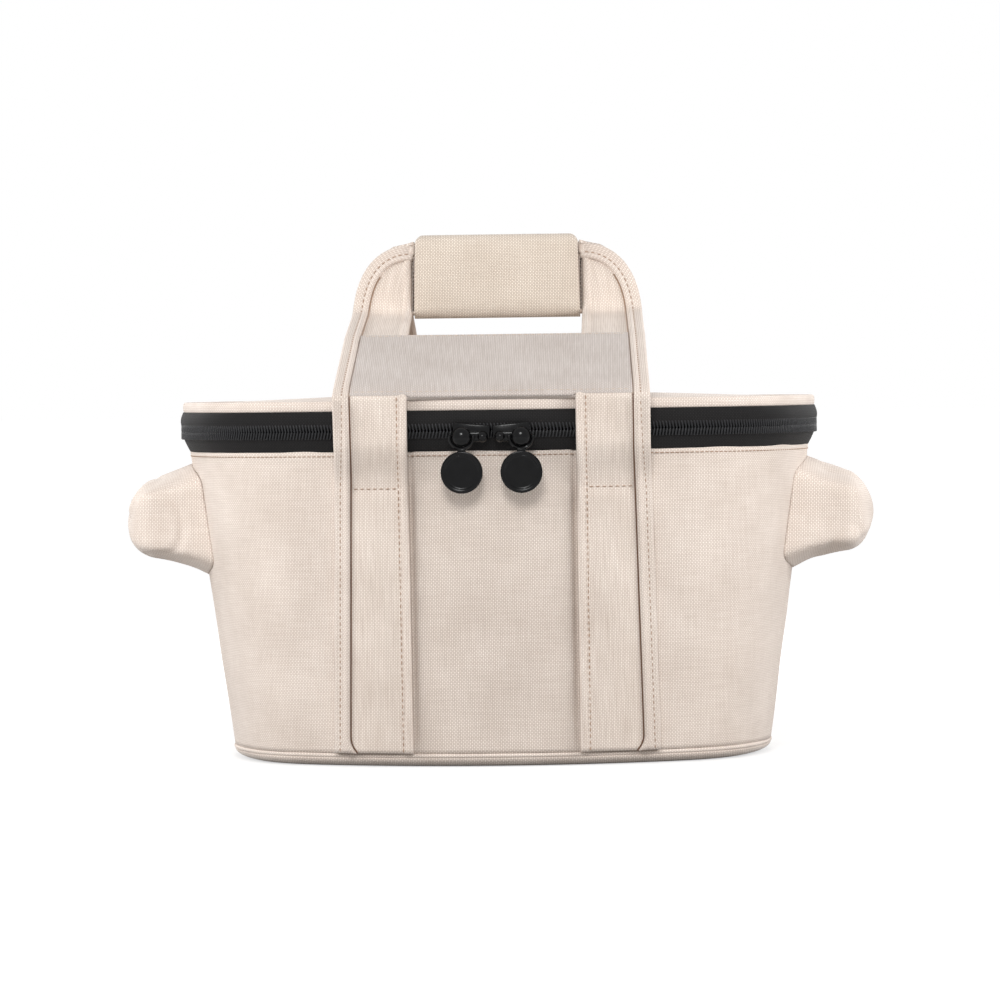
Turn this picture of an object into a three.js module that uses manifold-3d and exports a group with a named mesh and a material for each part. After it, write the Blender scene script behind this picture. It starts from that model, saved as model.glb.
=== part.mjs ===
// A casserole carrier: a soft oval bag for a round pot with two side handles. Millimetres, +Z up.
// The origin lies under the middle of the base. The front faces -Y and +X is to the right.
import * as THREE from 'three';
import { mergeVertices } from 'three/addons/utils/BufferGeometryUtils.js';
import Module from 'manifold-3d';

const wasm = await Module();
wasm.setup();

const { degToRad, lerp } = THREE.MathUtils;

// Plan outline at the rim: front and rear arcs, corner arcs and side arcs that run into each other
const RIM_HALF_WIDTH = 174.5;
const RIM_HALF_DEPTH = 146;
const RIM_CORNER_RADIUS = 95;
const FRONT_ARC_HALF_ANGLE = degToRad(28);
const SIDE_ARC_HALF_ANGLE = degToRad(24);

// Cloth layers, and the gap left between pieces that are sewn or laid together
const SEAM_GAP = 0.3;
const CANVAS = 1.5;
const FOAM = 6;
const LINING = 0.9;

// Base: a dish of canvas with a rounded edge, a welt of piping above it and stiffening inside
const BASE_ROUND_HEIGHT = 5;
const BASE_ROUND_REACH = 8;
const PIPING_RADIUS = 0.8;
const PIPING_PROUD = 0.4;
const BASE_BOARD = 2;
const BASE_FOAM = 5;
const BASE_FOAM_SETBACK = 3;

// Wall: its insets are measured inward from the rim outline
const WALL_TOP_Z = 168;
const WALL_TOP_INSET = 4.9;
const WALL_FOOT_INSET = 27.3;
const RIM_BINDING = 1;

// Slots in the wall for the pot's handles, and the pockets that house them
const SLOT_HALF_WIDTH = 34;
const SLOT_HALF_HEIGHT = 21;
const POCKET_CENTRE_Z = 129;
const POCKET_HALF_WIDTH = 46;
const POCKET_HALF_HEIGHT = 32;
const POCKET_REACH = 30.9;
const POCKET_END_HALF_WIDTH = 40;
const POCKET_END_HALF_HEIGHT = 18;
const POCKET_ROUND_START = 0.6;
const POCKET_ROUND_DEPTH = 0.97;
const POCKET_SQUARENESS = 3;
const POCKET_GAP = 0.5;

// Zip: two tapes with a row of coil each, and a slit between the rows for the sliders' posts
const ZIP_TAPE_HEIGHT = 9.3;
const ZIP_TAPE = 1;
const ZIP_INSET = 1.2;
const ZIP_SLANT_HEIGHT = 5;
const COIL_HEIGHT = 3.8;
const COIL_DEPTH = 1.3;
const CHAIN_SLIT = 1.4;
const ZIP_END_HALF_WIDTH = 84;
const ZIP_STOP_LENGTH = 8;
const HINGE_STRIP = 1.2;

// Sliders and their pulls
const SLIDER_LENGTH = 19.6;
const SLIDER_HEIGHT = 13;
const SLIDER_PLATE = 2.2;
const SLIDER_CLEARANCE = 0.6;
const SLIDER_POST_LENGTH = 4;
const SLIDERS_APART = 0.8;
const DOME_RADIUS = 4.8;
const DOME_PROUD = 3.2;
const DOME_OFFSET = 5;
const LUG_THICKNESS = 1.4;
const LUG_PROUD = 3.6;
const LUG_HEIGHT = 4.4;
const PIN_RADIUS = 1.2;
const PIN_LENGTH = 5;
const PIN_DROP = 3.3;
const PIN_OFFSET = 5.2;
const PULL_DROP = 18.6;
const PULL_RADIUS = 11;
const PULL_THICKNESS = 2.8;
const PULL_RIM_WIDTH = 1.8;
const PULL_DISH_DEPTH = 0.6;
const PULL_NECK_WIDTH = 4.2;
const PULL_NECK_THICKNESS = 2;

// Lid: an edge welt and a crowned, padded top
const LID_WELT_WIDTH = 3;
const LID_WELT_HEIGHT = 4.4;
const LID_CROWN = 3.5;
const LID_FOAM_SETBACK = 6;

// Straps: four legs up the wall, sewn down as far as the bar-tack row
const STRAP_INNER_X = 43.2;
const STRAP_WIDTH = 40.8;
const STRAP_THICKNESS = 2.2;
const STRAP_CLEARANCE = 0.9;
const BAR_TACK_DROP = 20;
const BINDING_WIDTH = 10.5;
const BINDING = 1.5;

// Handles: from a crease over the lid's edge, a yoke leans in, then the arch stands up in the grip
const CREASE_RISE = 3.6;
const YOKE_LENGTH = 89;
const YOKE_ANGLE = degToRad(20.2);
const YOKE_PANEL = 1.2;
const HAND_SIDE_ANGLE = degToRad(13.6);
const BEND_RADIUS = 9;
const BARS_APART = 4;
const ARCH_HALF_WIDTH = 79.5;
const ARCH_TOP_HALF_WIDTH = 46;
const ARCH_HEIGHT = 37.9;
const BAR_RISE = 5;

// Grip wrap round both bars: a front half, and a rear flap that opens about its top edge
const GRIP_HALF_LENGTH = 42;
const GRIP_FOAM = 3;
const GRIP_HEADROOM = 0.4;
const GRIP_ROUND = 6;
const GRIP_UNDERHANG = 2.6;
const FASTENER = 0.8;
const FASTENER_END_MARGIN = 5;

// Facets round the small turned pieces and the pockets, and the turn below which two stations are one
const PIPING_SIDES = 6;
const POCKET_SIDES = 20;
const DOME_SIDES = 16;
const PULL_SIDES = 28;
const PIN_SIDES = 12;
const SAME_TURN = 1e-6;

const canvas = { color: 0xdccfc1, roughness: 0.95, metalness: 0 };
const lining = { color: 0xcfc6ba, roughness: 0.85, metalness: 0 };
const foam = { color: 0xe9e5dd, roughness: 1, metalness: 0 };
const board = { color: 0x9c8566, roughness: 0.9, metalness: 0 };
const tape = { color: 0x242324, roughness: 0.8, metalness: 0 };
const coil = { color: 0x18181a, roughness: 0.45, metalness: 0 };
const enamel = { color: 0x08080a, roughness: 0.2, metalness: 0.4 };
const fastener = { color: 0xd2c8bb, roughness: 1, metalness: 0 };

// Heights and insets that follow from the sizes above
const floorInset = WALL_FOOT_INSET + BASE_ROUND_REACH;
const wallFootZ = BASE_ROUND_HEIGHT + 2 * PIPING_RADIUS + 2 * SEAM_GAP;
const boardZ = CANVAS + SEAM_GAP;
const baseFoamZ = boardZ + BASE_BOARD + SEAM_GAP;
const wallFoamZ = baseFoamZ + BASE_FOAM + SEAM_GAP;
const wallLiningZ = wallFoamZ + LINING + SEAM_GAP;
const foamDepth = CANVAS + SEAM_GAP;
const liningDepth = foamDepth + FOAM + SEAM_GAP;
const innerDepth = liningDepth + LINING;
const lowerTapeZ = WALL_TOP_Z + SEAM_GAP;
const slitZ = lowerTapeZ + ZIP_TAPE_HEIGHT;
const chainZ = slitZ + CHAIN_SLIT / 2;
const upperTapeZ = slitZ + CHAIN_SLIT;
const coilInset = ZIP_INSET - SEAM_GAP - COIL_DEPTH;
const lidWeltZ = upperTapeZ + ZIP_TAPE_HEIGHT + SEAM_GAP;
const lidTopZ = lidWeltZ + LID_WELT_HEIGHT;
const creaseZ = lidTopZ + CREASE_RISE;
const strapOuterX = STRAP_INNER_X + STRAP_WIDTH;
const strapInset = coilInset - STRAP_CLEARANCE;
const creaseInset = strapInset - STRAP_THICKNESS / 2;

const [frontRadius, sideRadius] = arcRadii();
const frontCentreY = frontRadius - RIM_HALF_DEPTH;
const sideCentreX = RIM_HALF_WIDTH - sideRadius;
const slotHalfAngle = Math.asin(SLOT_HALF_WIDTH / sideRadius);
const zipEndAngle = Math.PI - Math.asin(ZIP_END_HALF_WIDTH / frontRadius);
const zipStopAngle = zipEndAngle + ZIP_STOP_LENGTH / frontRadius;
const quadrantBreaks = [
  [0, 0],
  [FRONT_ARC_HALF_ANGLE, 6],
  [Math.PI / 2 - SIDE_ARC_HALF_ANGLE, 4],
  [Math.PI / 2 - slotHalfAngle, 1],
  [Math.PI / 2, 3],
];
const quadrantTurns = quadrantBreaks.flatMap(([turn, steps], k) =>
  range(steps).map((i) => lerp(quadrantBreaks[k - 1][0], turn, (i + 1) / steps)),
);

// Radii of the front and side arcs that close the outline through the corner arcs
function arcRadii() {
  const [sinFront, cosFront] = [Math.sin(FRONT_ARC_HALF_ANGLE), Math.cos(FRONT_ARC_HALF_ANGLE)];
  const [sinSide, cosSide] = [Math.sin(SIDE_ARC_HALF_ANGLE), Math.cos(SIDE_ARC_HALF_ANGLE)];
  const width = RIM_HALF_WIDTH - RIM_CORNER_RADIUS * (cosSide - sinFront);
  const depth = RIM_HALF_DEPTH - RIM_CORNER_RADIUS * (cosFront - sinSide);
  const determinant = sinFront * sinSide - (1 - cosSide) * (1 - cosFront);
  const front = (width * sinSide - depth * (1 - cosSide)) / determinant;
  const side = (depth * sinFront - width * (1 - cosFront)) / determinant;
  return [front, side];
}

function range(count) {
  return Array.from({ length: count }, (_, i) => i);
}

// The outline's point whose outward direction is `turn` round from the front, moved inward by `inset`
function outlinePoint(turn, inset, z) {
  const [sin, cos] = [Math.sin(turn), Math.cos(turn)];
  const acute = Math.atan2(Math.abs(sin), Math.abs(cos));
  let centre = [0, -frontCentreY];
  let radius = frontRadius;
  if (acute > Math.PI / 2 - SIDE_ARC_HALF_ANGLE) {
    centre = [sideCentreX, 0];
    radius = sideRadius;
  } else if (acute > FRONT_ARC_HALF_ANGLE) {
    const reach = frontRadius - RIM_CORNER_RADIUS;
    centre = [reach * Math.sin(FRONT_ARC_HALF_ANGLE), reach * Math.cos(FRONT_ARC_HALF_ANGLE) - frontCentreY];
    radius = RIM_CORNER_RADIUS;
  }
  const x = centre[0] + (radius - inset) * Math.sin(acute);
  const depth = centre[1] + (radius - inset) * Math.cos(acute);
  return new THREE.Vector3(Math.sign(sin) * x, -Math.sign(cos) * depth, z);
}

// Y of the front arc at x, moved inward by `inset`
function frontY(x, inset) {
  return frontCentreY - Math.sqrt((frontRadius - inset) ** 2 - x * x);
}

function wallInset(z) {
  return lerp(WALL_FOOT_INSET, WALL_TOP_INSET, (z - wallFootZ) / (WALL_TOP_Z - wallFootZ));
}

// Turns from one limit to the other, with every break of the outline that lies between them
function turnsBetween(from, to) {
  const half = [...quadrantTurns, ...quadrantTurns.map((t) => Math.PI - t)];
  const round = [0, Math.PI, ...half, ...half.map((t) => -t)];
  const whole = round.flatMap((t) => [t, t + 2 * Math.PI]);
  const inner = whole.filter((t) => t > from + SAME_TURN && t < to - SAME_TURN).sort((a, b) => a - b);
  const distinct = inner.filter((t, i) => i === 0 || t - inner[i - 1] > SAME_TURN);
  return [from, ...distinct, to];
}

const fullTurn = turnsBetween(-Math.PI, Math.PI).slice(0, -1);

// A geometry from points and triangles, turned so that its faces point out
function closedGeometry(points, triangles) {
  let volume = 0;
  for (const [a, b, c] of triangles) {
    volume += points[a].dot(new THREE.Vector3().crossVectors(points[b], points[c]));
  }
  const order = volume < 0 ? triangles.map(([a, b, c]) => [a, c, b]) : triangles;
  const geometry = new THREE.BufferGeometry().setFromPoints(points);
  geometry.setIndex(order.flat());
  geometry.computeVertexNormals();
  return geometry;
}

// A sheet: a grid of cells between an outer and an inner face, walled in wherever a kept cell meets none
function sheet(columns, rows, place, { closed = false, keep = () => true } = {}) {
  const width = columns.length;
  const points = [0, 1].flatMap((face) =>
    rows.flatMap((row) => columns.map((column) => place(column, row, face))),
  );
  const index = (i, j, face) => (face * rows.length + j) * width + (i % width);
  const cells = closed ? width : width - 1;
  const kept = (i, j) => {
    const column = closed ? (i + cells) % cells : i;
    return column >= 0 && column < cells && j >= 0 && j < rows.length - 1 && keep(column, j);
  };
  const triangles = [];
  const quad = (a, b, c, d) => triangles.push([a, b, c], [a, c, d]);
  for (let i = 0; i < cells; i += 1) {
    for (let j = 0; j < rows.length - 1; j += 1) {
      if (!kept(i, j)) continue;
      const corners = [[i, j], [i + 1, j], [i + 1, j + 1], [i, j + 1]];
      const neighbours = [[i, j - 1], [i + 1, j], [i, j + 1], [i - 1, j]];
      const outer = corners.map(([c, r]) => index(c, r, 1));
      const inner = corners.map(([c, r]) => index(c, r, 0));
      quad(...outer);
      quad(inner[0], inner[3], inner[2], inner[1]);
      neighbours.forEach(([c, r], k) => {
        const next = (k + 1) % 4;
        if (!kept(c, r)) quad(outer[next], outer[k], inner[k], inner[next]);
      });
    }
  }
  const used = [...new Set(triangles.flat())];
  const renumbered = new Map(used.map((old, k) => [old, k]));
  const order = triangles.map((triangle) => triangle.map((old) => renumbered.get(old)));
  return closedGeometry(used.map((old) => points[old]), order);
}

// A closed body through rings of equal counts, with its first and last ring filled in to their middles
function loft(rings) {
  const count = rings[0].length;
  const points = rings.flat();
  const triangles = [];
  for (let k = 0; k < rings.length - 1; k += 1) {
    for (let i = 0; i < count; i += 1) {
      const [a, b] = [k * count + i, k * count + ((i + 1) % count)];
      triangles.push([a, b, b + count], [a, b + count, a + count]);
    }
  }
  [0, rings.length - 1].forEach((k) => {
    const middle = new THREE.Vector3();
    rings[k].forEach((point) => middle.addScaledVector(point, 1 / count));
    points.push(middle);
    for (let i = 0; i < count; i += 1) {
      const edge = [k * count + i, k * count + ((i + 1) % count)];
      triangles.push([points.length - 1, ...(k === 0 ? edge.toReversed() : edge)]);
    }
  });
  return closedGeometry(points, triangles);
}

// A section of [inset, z] corners carried along the outline, all the way round or capped at both ends
function sweep(section, turns, closed = false) {
  const count = section.length;
  const points = turns.flatMap((turn) => section.map(([inset, z]) => outlinePoint(turn, inset, z)));
  const triangles = [];
  const steps = closed ? turns.length : turns.length - 1;
  for (let i = 0; i < steps; i += 1) {
    for (let k = 0; k < count; k += 1) {
      const next = (k + 1) % count;
      const [here, there] = [i * count, ((i + 1) % turns.length) * count];
      triangles.push([here + k, there + k, there + next], [here + k, there + next, here + next]);
    }
  }
  if (!closed) {
    const corners = section.map(([inset, z]) => new THREE.Vector2(inset, z));
    const last = steps * count;
    const turnsLeft = THREE.ShapeUtils.area(corners) > 0;
    for (const cap of THREE.ShapeUtils.triangulateShape(corners, [])) {
      const [a, b, c] = turnsLeft ? cap : cap.toReversed();
      triangles.push([a, b, c], [last + c, last + b, last + a]);
    }
  }
  return closedGeometry(points, triangles);
}

function bar(insetFrom, insetTo, zFrom, zTo) {
  return [[insetFrom, zFrom], [insetTo, zFrom], [insetTo, zTo], [insetFrom, zTo]];
}

function outlineRing(inset, z, scale = 1) {
  return fullTurn.map((turn) => {
    const point = outlinePoint(turn, inset, z);
    return new THREE.Vector3(point.x * scale, point.y * scale, z);
  });
}

function plate(inset, z, thickness) {
  return loft([outlineRing(inset, z), outlineRing(inset, z + thickness)]);
}

// A closed geometry as a solid that can be joined to others
function toSolid(geometry) {
  const bare = geometry.index ? geometry.toNonIndexed() : geometry.clone();
  bare.deleteAttribute('normal');
  bare.deleteAttribute('uv');
  const merged = mergeVertices(bare, 1e-5);
  const corners = Array.from(merged.index.array);
  const triangles = range(corners.length / 3).map((k) => corners.slice(3 * k, 3 * k + 3));
  const whole = triangles.filter(([a, b, c]) => a !== b && b !== c && c !== a);
  return new wasm.Manifold(
    new wasm.Mesh({
      numProp: 3,
      vertProperties: new Float32Array(merged.attributes.position.array),
      triVerts: new Uint32Array(whole.flat()),
    }),
  );
}

function joined(geometries) {
  const solid = geometries.map(toSolid).reduce((whole, next) => whole.add(next));
  const mesh = solid.getMesh();
  const geometry = new THREE.BufferGeometry();
  geometry.setAttribute('position', new THREE.BufferAttribute(mesh.vertProperties, 3));
  geometry.setIndex(Array.from(mesh.triVerts));
  geometry.computeVertexNormals();
  return geometry;
}

function block(xFrom, xTo, yFrom, yTo, zFrom, zTo) {
  const geometry = new THREE.BoxGeometry(xTo - xFrom, yTo - yFrom, zTo - zFrom);
  return geometry.translate((xFrom + xTo) / 2, (yFrom + yTo) / 2, (zFrom + zTo) / 2);
}

const carrier = new THREE.Group();

function addPiece(parent, name, geometry, finish) {
  const mesh = new THREE.Mesh(geometry, new THREE.MeshStandardMaterial(finish));
  mesh.name = name;
  parent.add(mesh);
}

// Base
function baseDish() {
  const edge = (shrink) =>
    [0, 30, 60, 90].map(degToRad).map((t) => {
      const reach = (BASE_ROUND_REACH - shrink) * Math.sin(t);
      const rise = (BASE_ROUND_HEIGHT - shrink) * (1 - Math.cos(t));
      return outlineRing(floorInset - reach, shrink + rise);
    });
  return loft([...edge(CANVAS), ...edge(0).toReversed()]);
}

function pipingSection() {
  const inset = WALL_FOOT_INSET + PIPING_RADIUS - PIPING_PROUD;
  const z = BASE_ROUND_HEIGHT + SEAM_GAP + PIPING_RADIUS;
  return range(PIPING_SIDES).map((k) => {
    const turn = (2 * Math.PI * k) / PIPING_SIDES;
    return [inset + PIPING_RADIUS * Math.cos(turn), z + PIPING_RADIUS * Math.sin(turn)];
  });
}

const baseLiningInset = wallInset(wallFoamZ) + liningDepth;
addPiece(carrier, 'base_panel', baseDish(), canvas);
addPiece(carrier, 'base_piping', sweep(pipingSection(), fullTurn, true), canvas);
addPiece(carrier, 'base_board', plate(floorInset + SEAM_GAP, boardZ, BASE_BOARD), board);
addPiece(carrier, 'base_foam', plate(WALL_FOOT_INSET + BASE_FOAM_SETBACK, baseFoamZ, BASE_FOAM), foam);
addPiece(carrier, 'base_lining', plate(baseLiningInset, wallFoamZ, LINING), lining);

// Walls: canvas in a front and a rear half that meet at the sides, then foam and lining all round
function wallLayer(turns, footZ, depthFrom, depthTo, closed) {
  const slotFromZ = POCKET_CENTRE_Z - SLOT_HALF_HEIGHT;
  const slotToZ = POCKET_CENTRE_Z + SLOT_HALF_HEIGHT;
  const rows = [footZ, slotFromZ, slotToZ, WALL_TOP_Z];
  const inSlot = (turn) => Math.abs(Math.abs(Math.sin(turn)) - 1) < 1 - Math.cos(slotHalfAngle) - 1e-9;
  const keep = (i, j) => {
    const next = turns[(i + 1) % turns.length];
    const middle = next > turns[i] ? (turns[i] + next) / 2 : turns[i] + (next + 2 * Math.PI - turns[i]) / 2;
    return j !== 1 || !inSlot(middle);
  };
  const place = (turn, z, face) => outlinePoint(turn, wallInset(z) + (face ? depthFrom : depthTo), z);
  return sheet(turns, rows, place, { closed, keep });
}

const sideSeamAngle = SEAM_GAP / sideRadius;
const [frontFrom, frontTo] = [sideSeamAngle - Math.PI / 2, Math.PI / 2 - sideSeamAngle];
const [rearFrom, rearTo] = [frontFrom + Math.PI, frontTo + Math.PI];
const frontTurns = turnsBetween(frontFrom, frontTo);
const rearTurns = turnsBetween(rearFrom, rearTo);
const [rimFrom, rimTo] = [WALL_TOP_INSET + foamDepth, WALL_TOP_INSET + innerDepth];
const rimBinding = bar(rimFrom, rimTo, lowerTapeZ, lowerTapeZ + RIM_BINDING);
addPiece(carrier, 'front_wall_canvas', wallLayer(frontTurns, wallFootZ, 0, CANVAS, false), canvas);
addPiece(carrier, 'rear_wall_canvas', wallLayer(rearTurns, wallFootZ, 0, CANVAS, false), canvas);
addPiece(carrier, 'wall_foam', wallLayer(fullTurn, wallFoamZ, foamDepth, foamDepth + FOAM, true), foam);
addPiece(carrier, 'wall_lining', wallLayer(fullTurn, wallLiningZ, liningDepth, innerDepth, true), lining);
addPiece(carrier, 'rim_binding', sweep(rimBinding, fullTurn, true), lining);

// Pockets: domed shells that stand off the side walls over the slots, open towards the pot
function pocketRing(side, along, shrink) {
  const past = Math.max(0, (along - POCKET_ROUND_START) / (1 - POCKET_ROUND_START));
  const rounding = Math.sqrt(1 - (POCKET_ROUND_DEPTH * past) ** 2);
  const halfWidth = lerp(POCKET_HALF_WIDTH, POCKET_END_HALF_WIDTH, along) * rounding - shrink;
  const halfHeight = lerp(POCKET_HALF_HEIGHT, POCKET_END_HALF_HEIGHT, along) * rounding - shrink;
  const power = 2 / POCKET_SQUARENESS;
  return range(POCKET_SIDES).map((k) => {
    const turn = (2 * Math.PI * k) / POCKET_SIDES;
    const [cos, sin] = [Math.cos(turn), Math.sin(turn)];
    const y = halfWidth * Math.sign(cos) * Math.abs(cos) ** power;
    const z = POCKET_CENTRE_Z + halfHeight * Math.sign(sin) * Math.abs(sin) ** power;
    const wallX = sideCentreX + Math.sqrt((sideRadius - wallInset(z) + POCKET_GAP) ** 2 - y * y);
    const endX = RIM_HALF_WIDTH + POCKET_REACH - shrink;
    return new THREE.Vector3(side * lerp(wallX, endX, along), y, z);
  });
}

function pocketShell(side, shrinkFrom, shrinkTo) {
  const alongs = [0, 0.3, 0.6, 0.74, 0.86, 0.95, 1];
  const inside = alongs.toReversed().map((along) => pocketRing(side, along, shrinkTo));
  const outside = alongs.map((along) => pocketRing(side, along, shrinkFrom));
  return loft([...inside, ...outside]);
}

for (const [label, side] of [['left', -1], ['right', 1]]) {
  const liningFrom = CANVAS + SEAM_GAP;
  addPiece(carrier, `${label}_pocket_canvas`, pocketShell(side, 0, CANVAS), canvas);
  addPiece(carrier, `${label}_pocket_lining`, pocketShell(side, liningFrom, liningFrom + LINING), lining);
}

// Zip: the lower tape slants out from the wall, and the upper one hangs from the lid
const zipTurns = turnsBetween(-zipEndAngle, zipEndAngle);
const slantZ = lowerTapeZ + ZIP_SLANT_HEIGHT;
const zipInnerInset = ZIP_INSET + ZIP_TAPE;
const lowerTape = [
  [WALL_TOP_INSET, lowerTapeZ],
  [WALL_TOP_INSET + ZIP_TAPE, lowerTapeZ],
  [zipInnerInset, slantZ],
  [zipInnerInset, slitZ],
  [ZIP_INSET, slitZ],
  [ZIP_INSET, slantZ],
];
const lowerCoil = bar(coilInset, coilInset + COIL_DEPTH, slitZ - COIL_HEIGHT, slitZ);
const upperTape = bar(ZIP_INSET, zipInnerInset, upperTapeZ, upperTapeZ + ZIP_TAPE_HEIGHT);
const upperCoil = bar(coilInset, coilInset + COIL_DEPTH, upperTapeZ, upperTapeZ + COIL_HEIGHT);
addPiece(carrier, 'zip_tape_lower', sweep(lowerTape, zipTurns), tape);
addPiece(carrier, 'zip_coil_lower', sweep(lowerCoil, zipTurns), coil);

const zipStop = bar(ZIP_INSET, ZIP_INSET + CANVAS, lowerTapeZ, slitZ);
for (const [label, side] of [['left', -1], ['right', 1]]) {
  const gap = SEAM_GAP / frontRadius;
  const ends = [zipEndAngle + gap, zipStopAngle - gap].map((turn) => side * turn).sort((a, b) => a - b);
  addPiece(carrier, `${label}_zip_stop`, sweep(zipStop, turnsBetween(...ends)), canvas);
}

const hingeStrip = bar(ZIP_INSET, ZIP_INSET + HINGE_STRIP, lowerTapeZ, lidWeltZ - SEAM_GAP);
const hingeTurns = turnsBetween(zipStopAngle, 2 * Math.PI - zipStopAngle);
addPiece(carrier, 'lid_hinge_strip', sweep(hingeStrip, hingeTurns), canvas);

// Lid: welt, crowned canvas, foam and lining, with the upper half of the zip
const lid = new THREE.Group();
carrier.add(lid);
const lidInset = ZIP_INSET + LID_WELT_WIDTH + SEAM_GAP;

function lidLayer(inset, depthFrom, depthTo) {
  const scales = [1, 0.8, 0.45];
  const face = (depth) =>
    scales.map((scale) => outlineRing(inset, lidTopZ - depth + LID_CROWN * (1 - scale * scale), scale));
  return loft([...face(depthTo).toReversed(), ...face(depthFrom)]);
}

const lidWelt = [
  [ZIP_INSET, lidWeltZ],
  [ZIP_INSET + LID_WELT_WIDTH, lidWeltZ],
  [ZIP_INSET + LID_WELT_WIDTH, lidTopZ],
  [ZIP_INSET + LID_WELT_WIDTH / 2, lidTopZ],
  [ZIP_INSET, lidTopZ - LID_WELT_WIDTH / 2],
];
const lidFoamInset = lidInset + LID_FOAM_SETBACK;
addPiece(lid, 'lid_welt', sweep(lidWelt, fullTurn, true), canvas);
addPiece(lid, 'lid_canvas', lidLayer(lidInset, 0, CANVAS), canvas);
addPiece(lid, 'lid_foam', lidLayer(lidFoamInset, foamDepth, foamDepth + FOAM), foam);
addPiece(lid, 'lid_lining', lidLayer(lidFoamInset, liningDepth, innerDepth), lining);
addPiece(lid, 'zip_tape_upper', sweep(upperTape, zipTurns), tape);
addPiece(lid, 'zip_coil_upper', sweep(upperCoil, zipTurns), coil);

// Sliders and pulls, in a frame whose Y is the inset from the rim and whose Z is the height over the chain
const plateBack = coilInset - SLIDER_CLEARANCE;
const plateFront = plateBack - SLIDER_PLATE;
const pinY = plateFront - LUG_PROUD / 2;

function sliderGeometry(side) {
  const [halfLength, halfHeight] = [SLIDER_LENGTH / 2, SLIDER_HEIGHT / 2];
  const rearFrom = zipInnerInset + SLIDER_CLEARANCE;
  const rearFootZ = slantZ + SLIDER_CLEARANCE - chainZ;
  const postHalf = CHAIN_SLIT / 2 - SEAM_GAP;
  const sunk = SLIDER_PLATE / 2;
  const frontPlate = block(-halfLength, halfLength, plateFront, plateBack, -halfHeight, halfHeight);
  const rearPlate = block(-halfLength, halfLength, rearFrom, rearFrom + SLIDER_PLATE, rearFootZ, halfHeight);
  const postHalfLength = SLIDER_POST_LENGTH / 2;
  const post = block(-postHalfLength, postHalfLength, plateBack - sunk, rearFrom + sunk, -postHalf, postHalf);
  const domeProfile = [0, 22.5, 45, 67.5, 90].map(degToRad).map((t) => {
    return new THREE.Vector2(DOME_RADIUS * Math.sin(t), -DOME_PROUD * Math.cos(t));
  });
  domeProfile.push(new THREE.Vector2(DOME_RADIUS, sunk), new THREE.Vector2(0, sunk));
  const dome = new THREE.LatheGeometry(domeProfile, DOME_SIDES).translate(-side * DOME_OFFSET, plateFront, 0);
  const lugHalfGap = PIN_LENGTH / 2 + SEAM_GAP;
  const lugs = [-1, 1].map((end) => {
    const x = side * PIN_OFFSET + end * (lugHalfGap + LUG_THICKNESS / 2);
    const [lugHalf, lugTall] = [LUG_THICKNESS / 2, LUG_HEIGHT / 2];
    const [low, high] = [-PIN_DROP - lugTall, -PIN_DROP + lugTall];
    return block(x - lugHalf, x + lugHalf, plateFront - LUG_PROUD, plateFront + sunk, low, high);
  });
  return joined([frontPlate, rearPlate, post, dome, ...lugs]);
}

function pullGeometry() {
  const half = PULL_THICKNESS / 2;
  const innerRim = PULL_RADIUS - PULL_RIM_WIDTH;
  const profile = [
    [0, half],
    [PULL_RADIUS, half],
    [PULL_RADIUS, -half],
    [innerRim, -half],
    [innerRim, PULL_DISH_DEPTH - half],
    [0, PULL_DISH_DEPTH - half],
  ].map(([radius, y]) => new THREE.Vector2(radius, y));
  const disc = new THREE.LatheGeometry(profile.toReversed(), PULL_SIDES).translate(0, 0, -PULL_DROP);
  const pin = new THREE.CylinderGeometry(PIN_RADIUS, PIN_RADIUS, PIN_LENGTH, PIN_SIDES).rotateZ(Math.PI / 2);
  const neckHalf = PULL_NECK_WIDTH / 2;
  const neckFoot = PULL_RADIUS - PULL_RIM_WIDTH / 2 - PULL_DROP;
  const neckThick = PULL_NECK_THICKNESS / 2;
  return joined([pin, block(-neckHalf, neckHalf, -neckThick, neckThick, neckFoot, 0), disc]);
}

const sliderAngle = (SLIDER_LENGTH + SLIDERS_APART) / 2 / frontRadius;
for (const [label, side] of [['left', -1], ['right', 1]]) {
  const path = new THREE.Group();
  path.position.y = frontCentreY;
  path.rotation.z = side * sliderAngle;
  carrier.add(path);
  const slider = new THREE.Group();
  slider.position.set(0, -frontRadius, chainZ);
  path.add(slider);
  const pull = new THREE.Group();
  pull.position.set(side * PIN_OFFSET, pinY, -PIN_DROP);
  slider.add(pull);
  addPiece(slider, `${label}_slider`, sliderGeometry(side), enamel);
  addPiece(pull, `${label}_pull`, pullGeometry(), enamel);
}

// Straps: each leg lies on the wall up to the bar-tack, then stands out to pass in front of the zip
const tackZ = WALL_TOP_Z - BAR_TACK_DROP;
const strapFootZ = wallFootZ + SEAM_GAP;
const strapClearZ = slantZ - SEAM_GAP;
const strapTopZ = creaseZ - STRAP_THICKNESS / 2 - SEAM_GAP;
const strapRows = [
  ...[0, 1 / 3, 2 / 3, 1].map((t) => lerp(strapFootZ, tackZ, t)),
  ...[0.35, 0.7, 1].map((t) => lerp(tackZ, strapClearZ, t)),
  strapTopZ,
];

const bindingInnerX = strapOuterX - BINDING_WIDTH;
const bindingColumns = [0, 0.5, 1].map((t) => lerp(bindingInnerX, strapOuterX, t));
const strapColumns = [
  ...[0, 1 / 3, 2 / 3].map((t) => lerp(STRAP_INNER_X, bindingInnerX, t)),
  ...bindingColumns,
];

function strapBackInset(z) {
  const onWall = (height) => wallInset(height) - SEAM_GAP;
  if (z <= tackZ) return onWall(z);
  return lerp(onWall(tackZ), strapInset, Math.min(1, (z - tackZ) / (strapClearZ - tackZ)));
}

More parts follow.
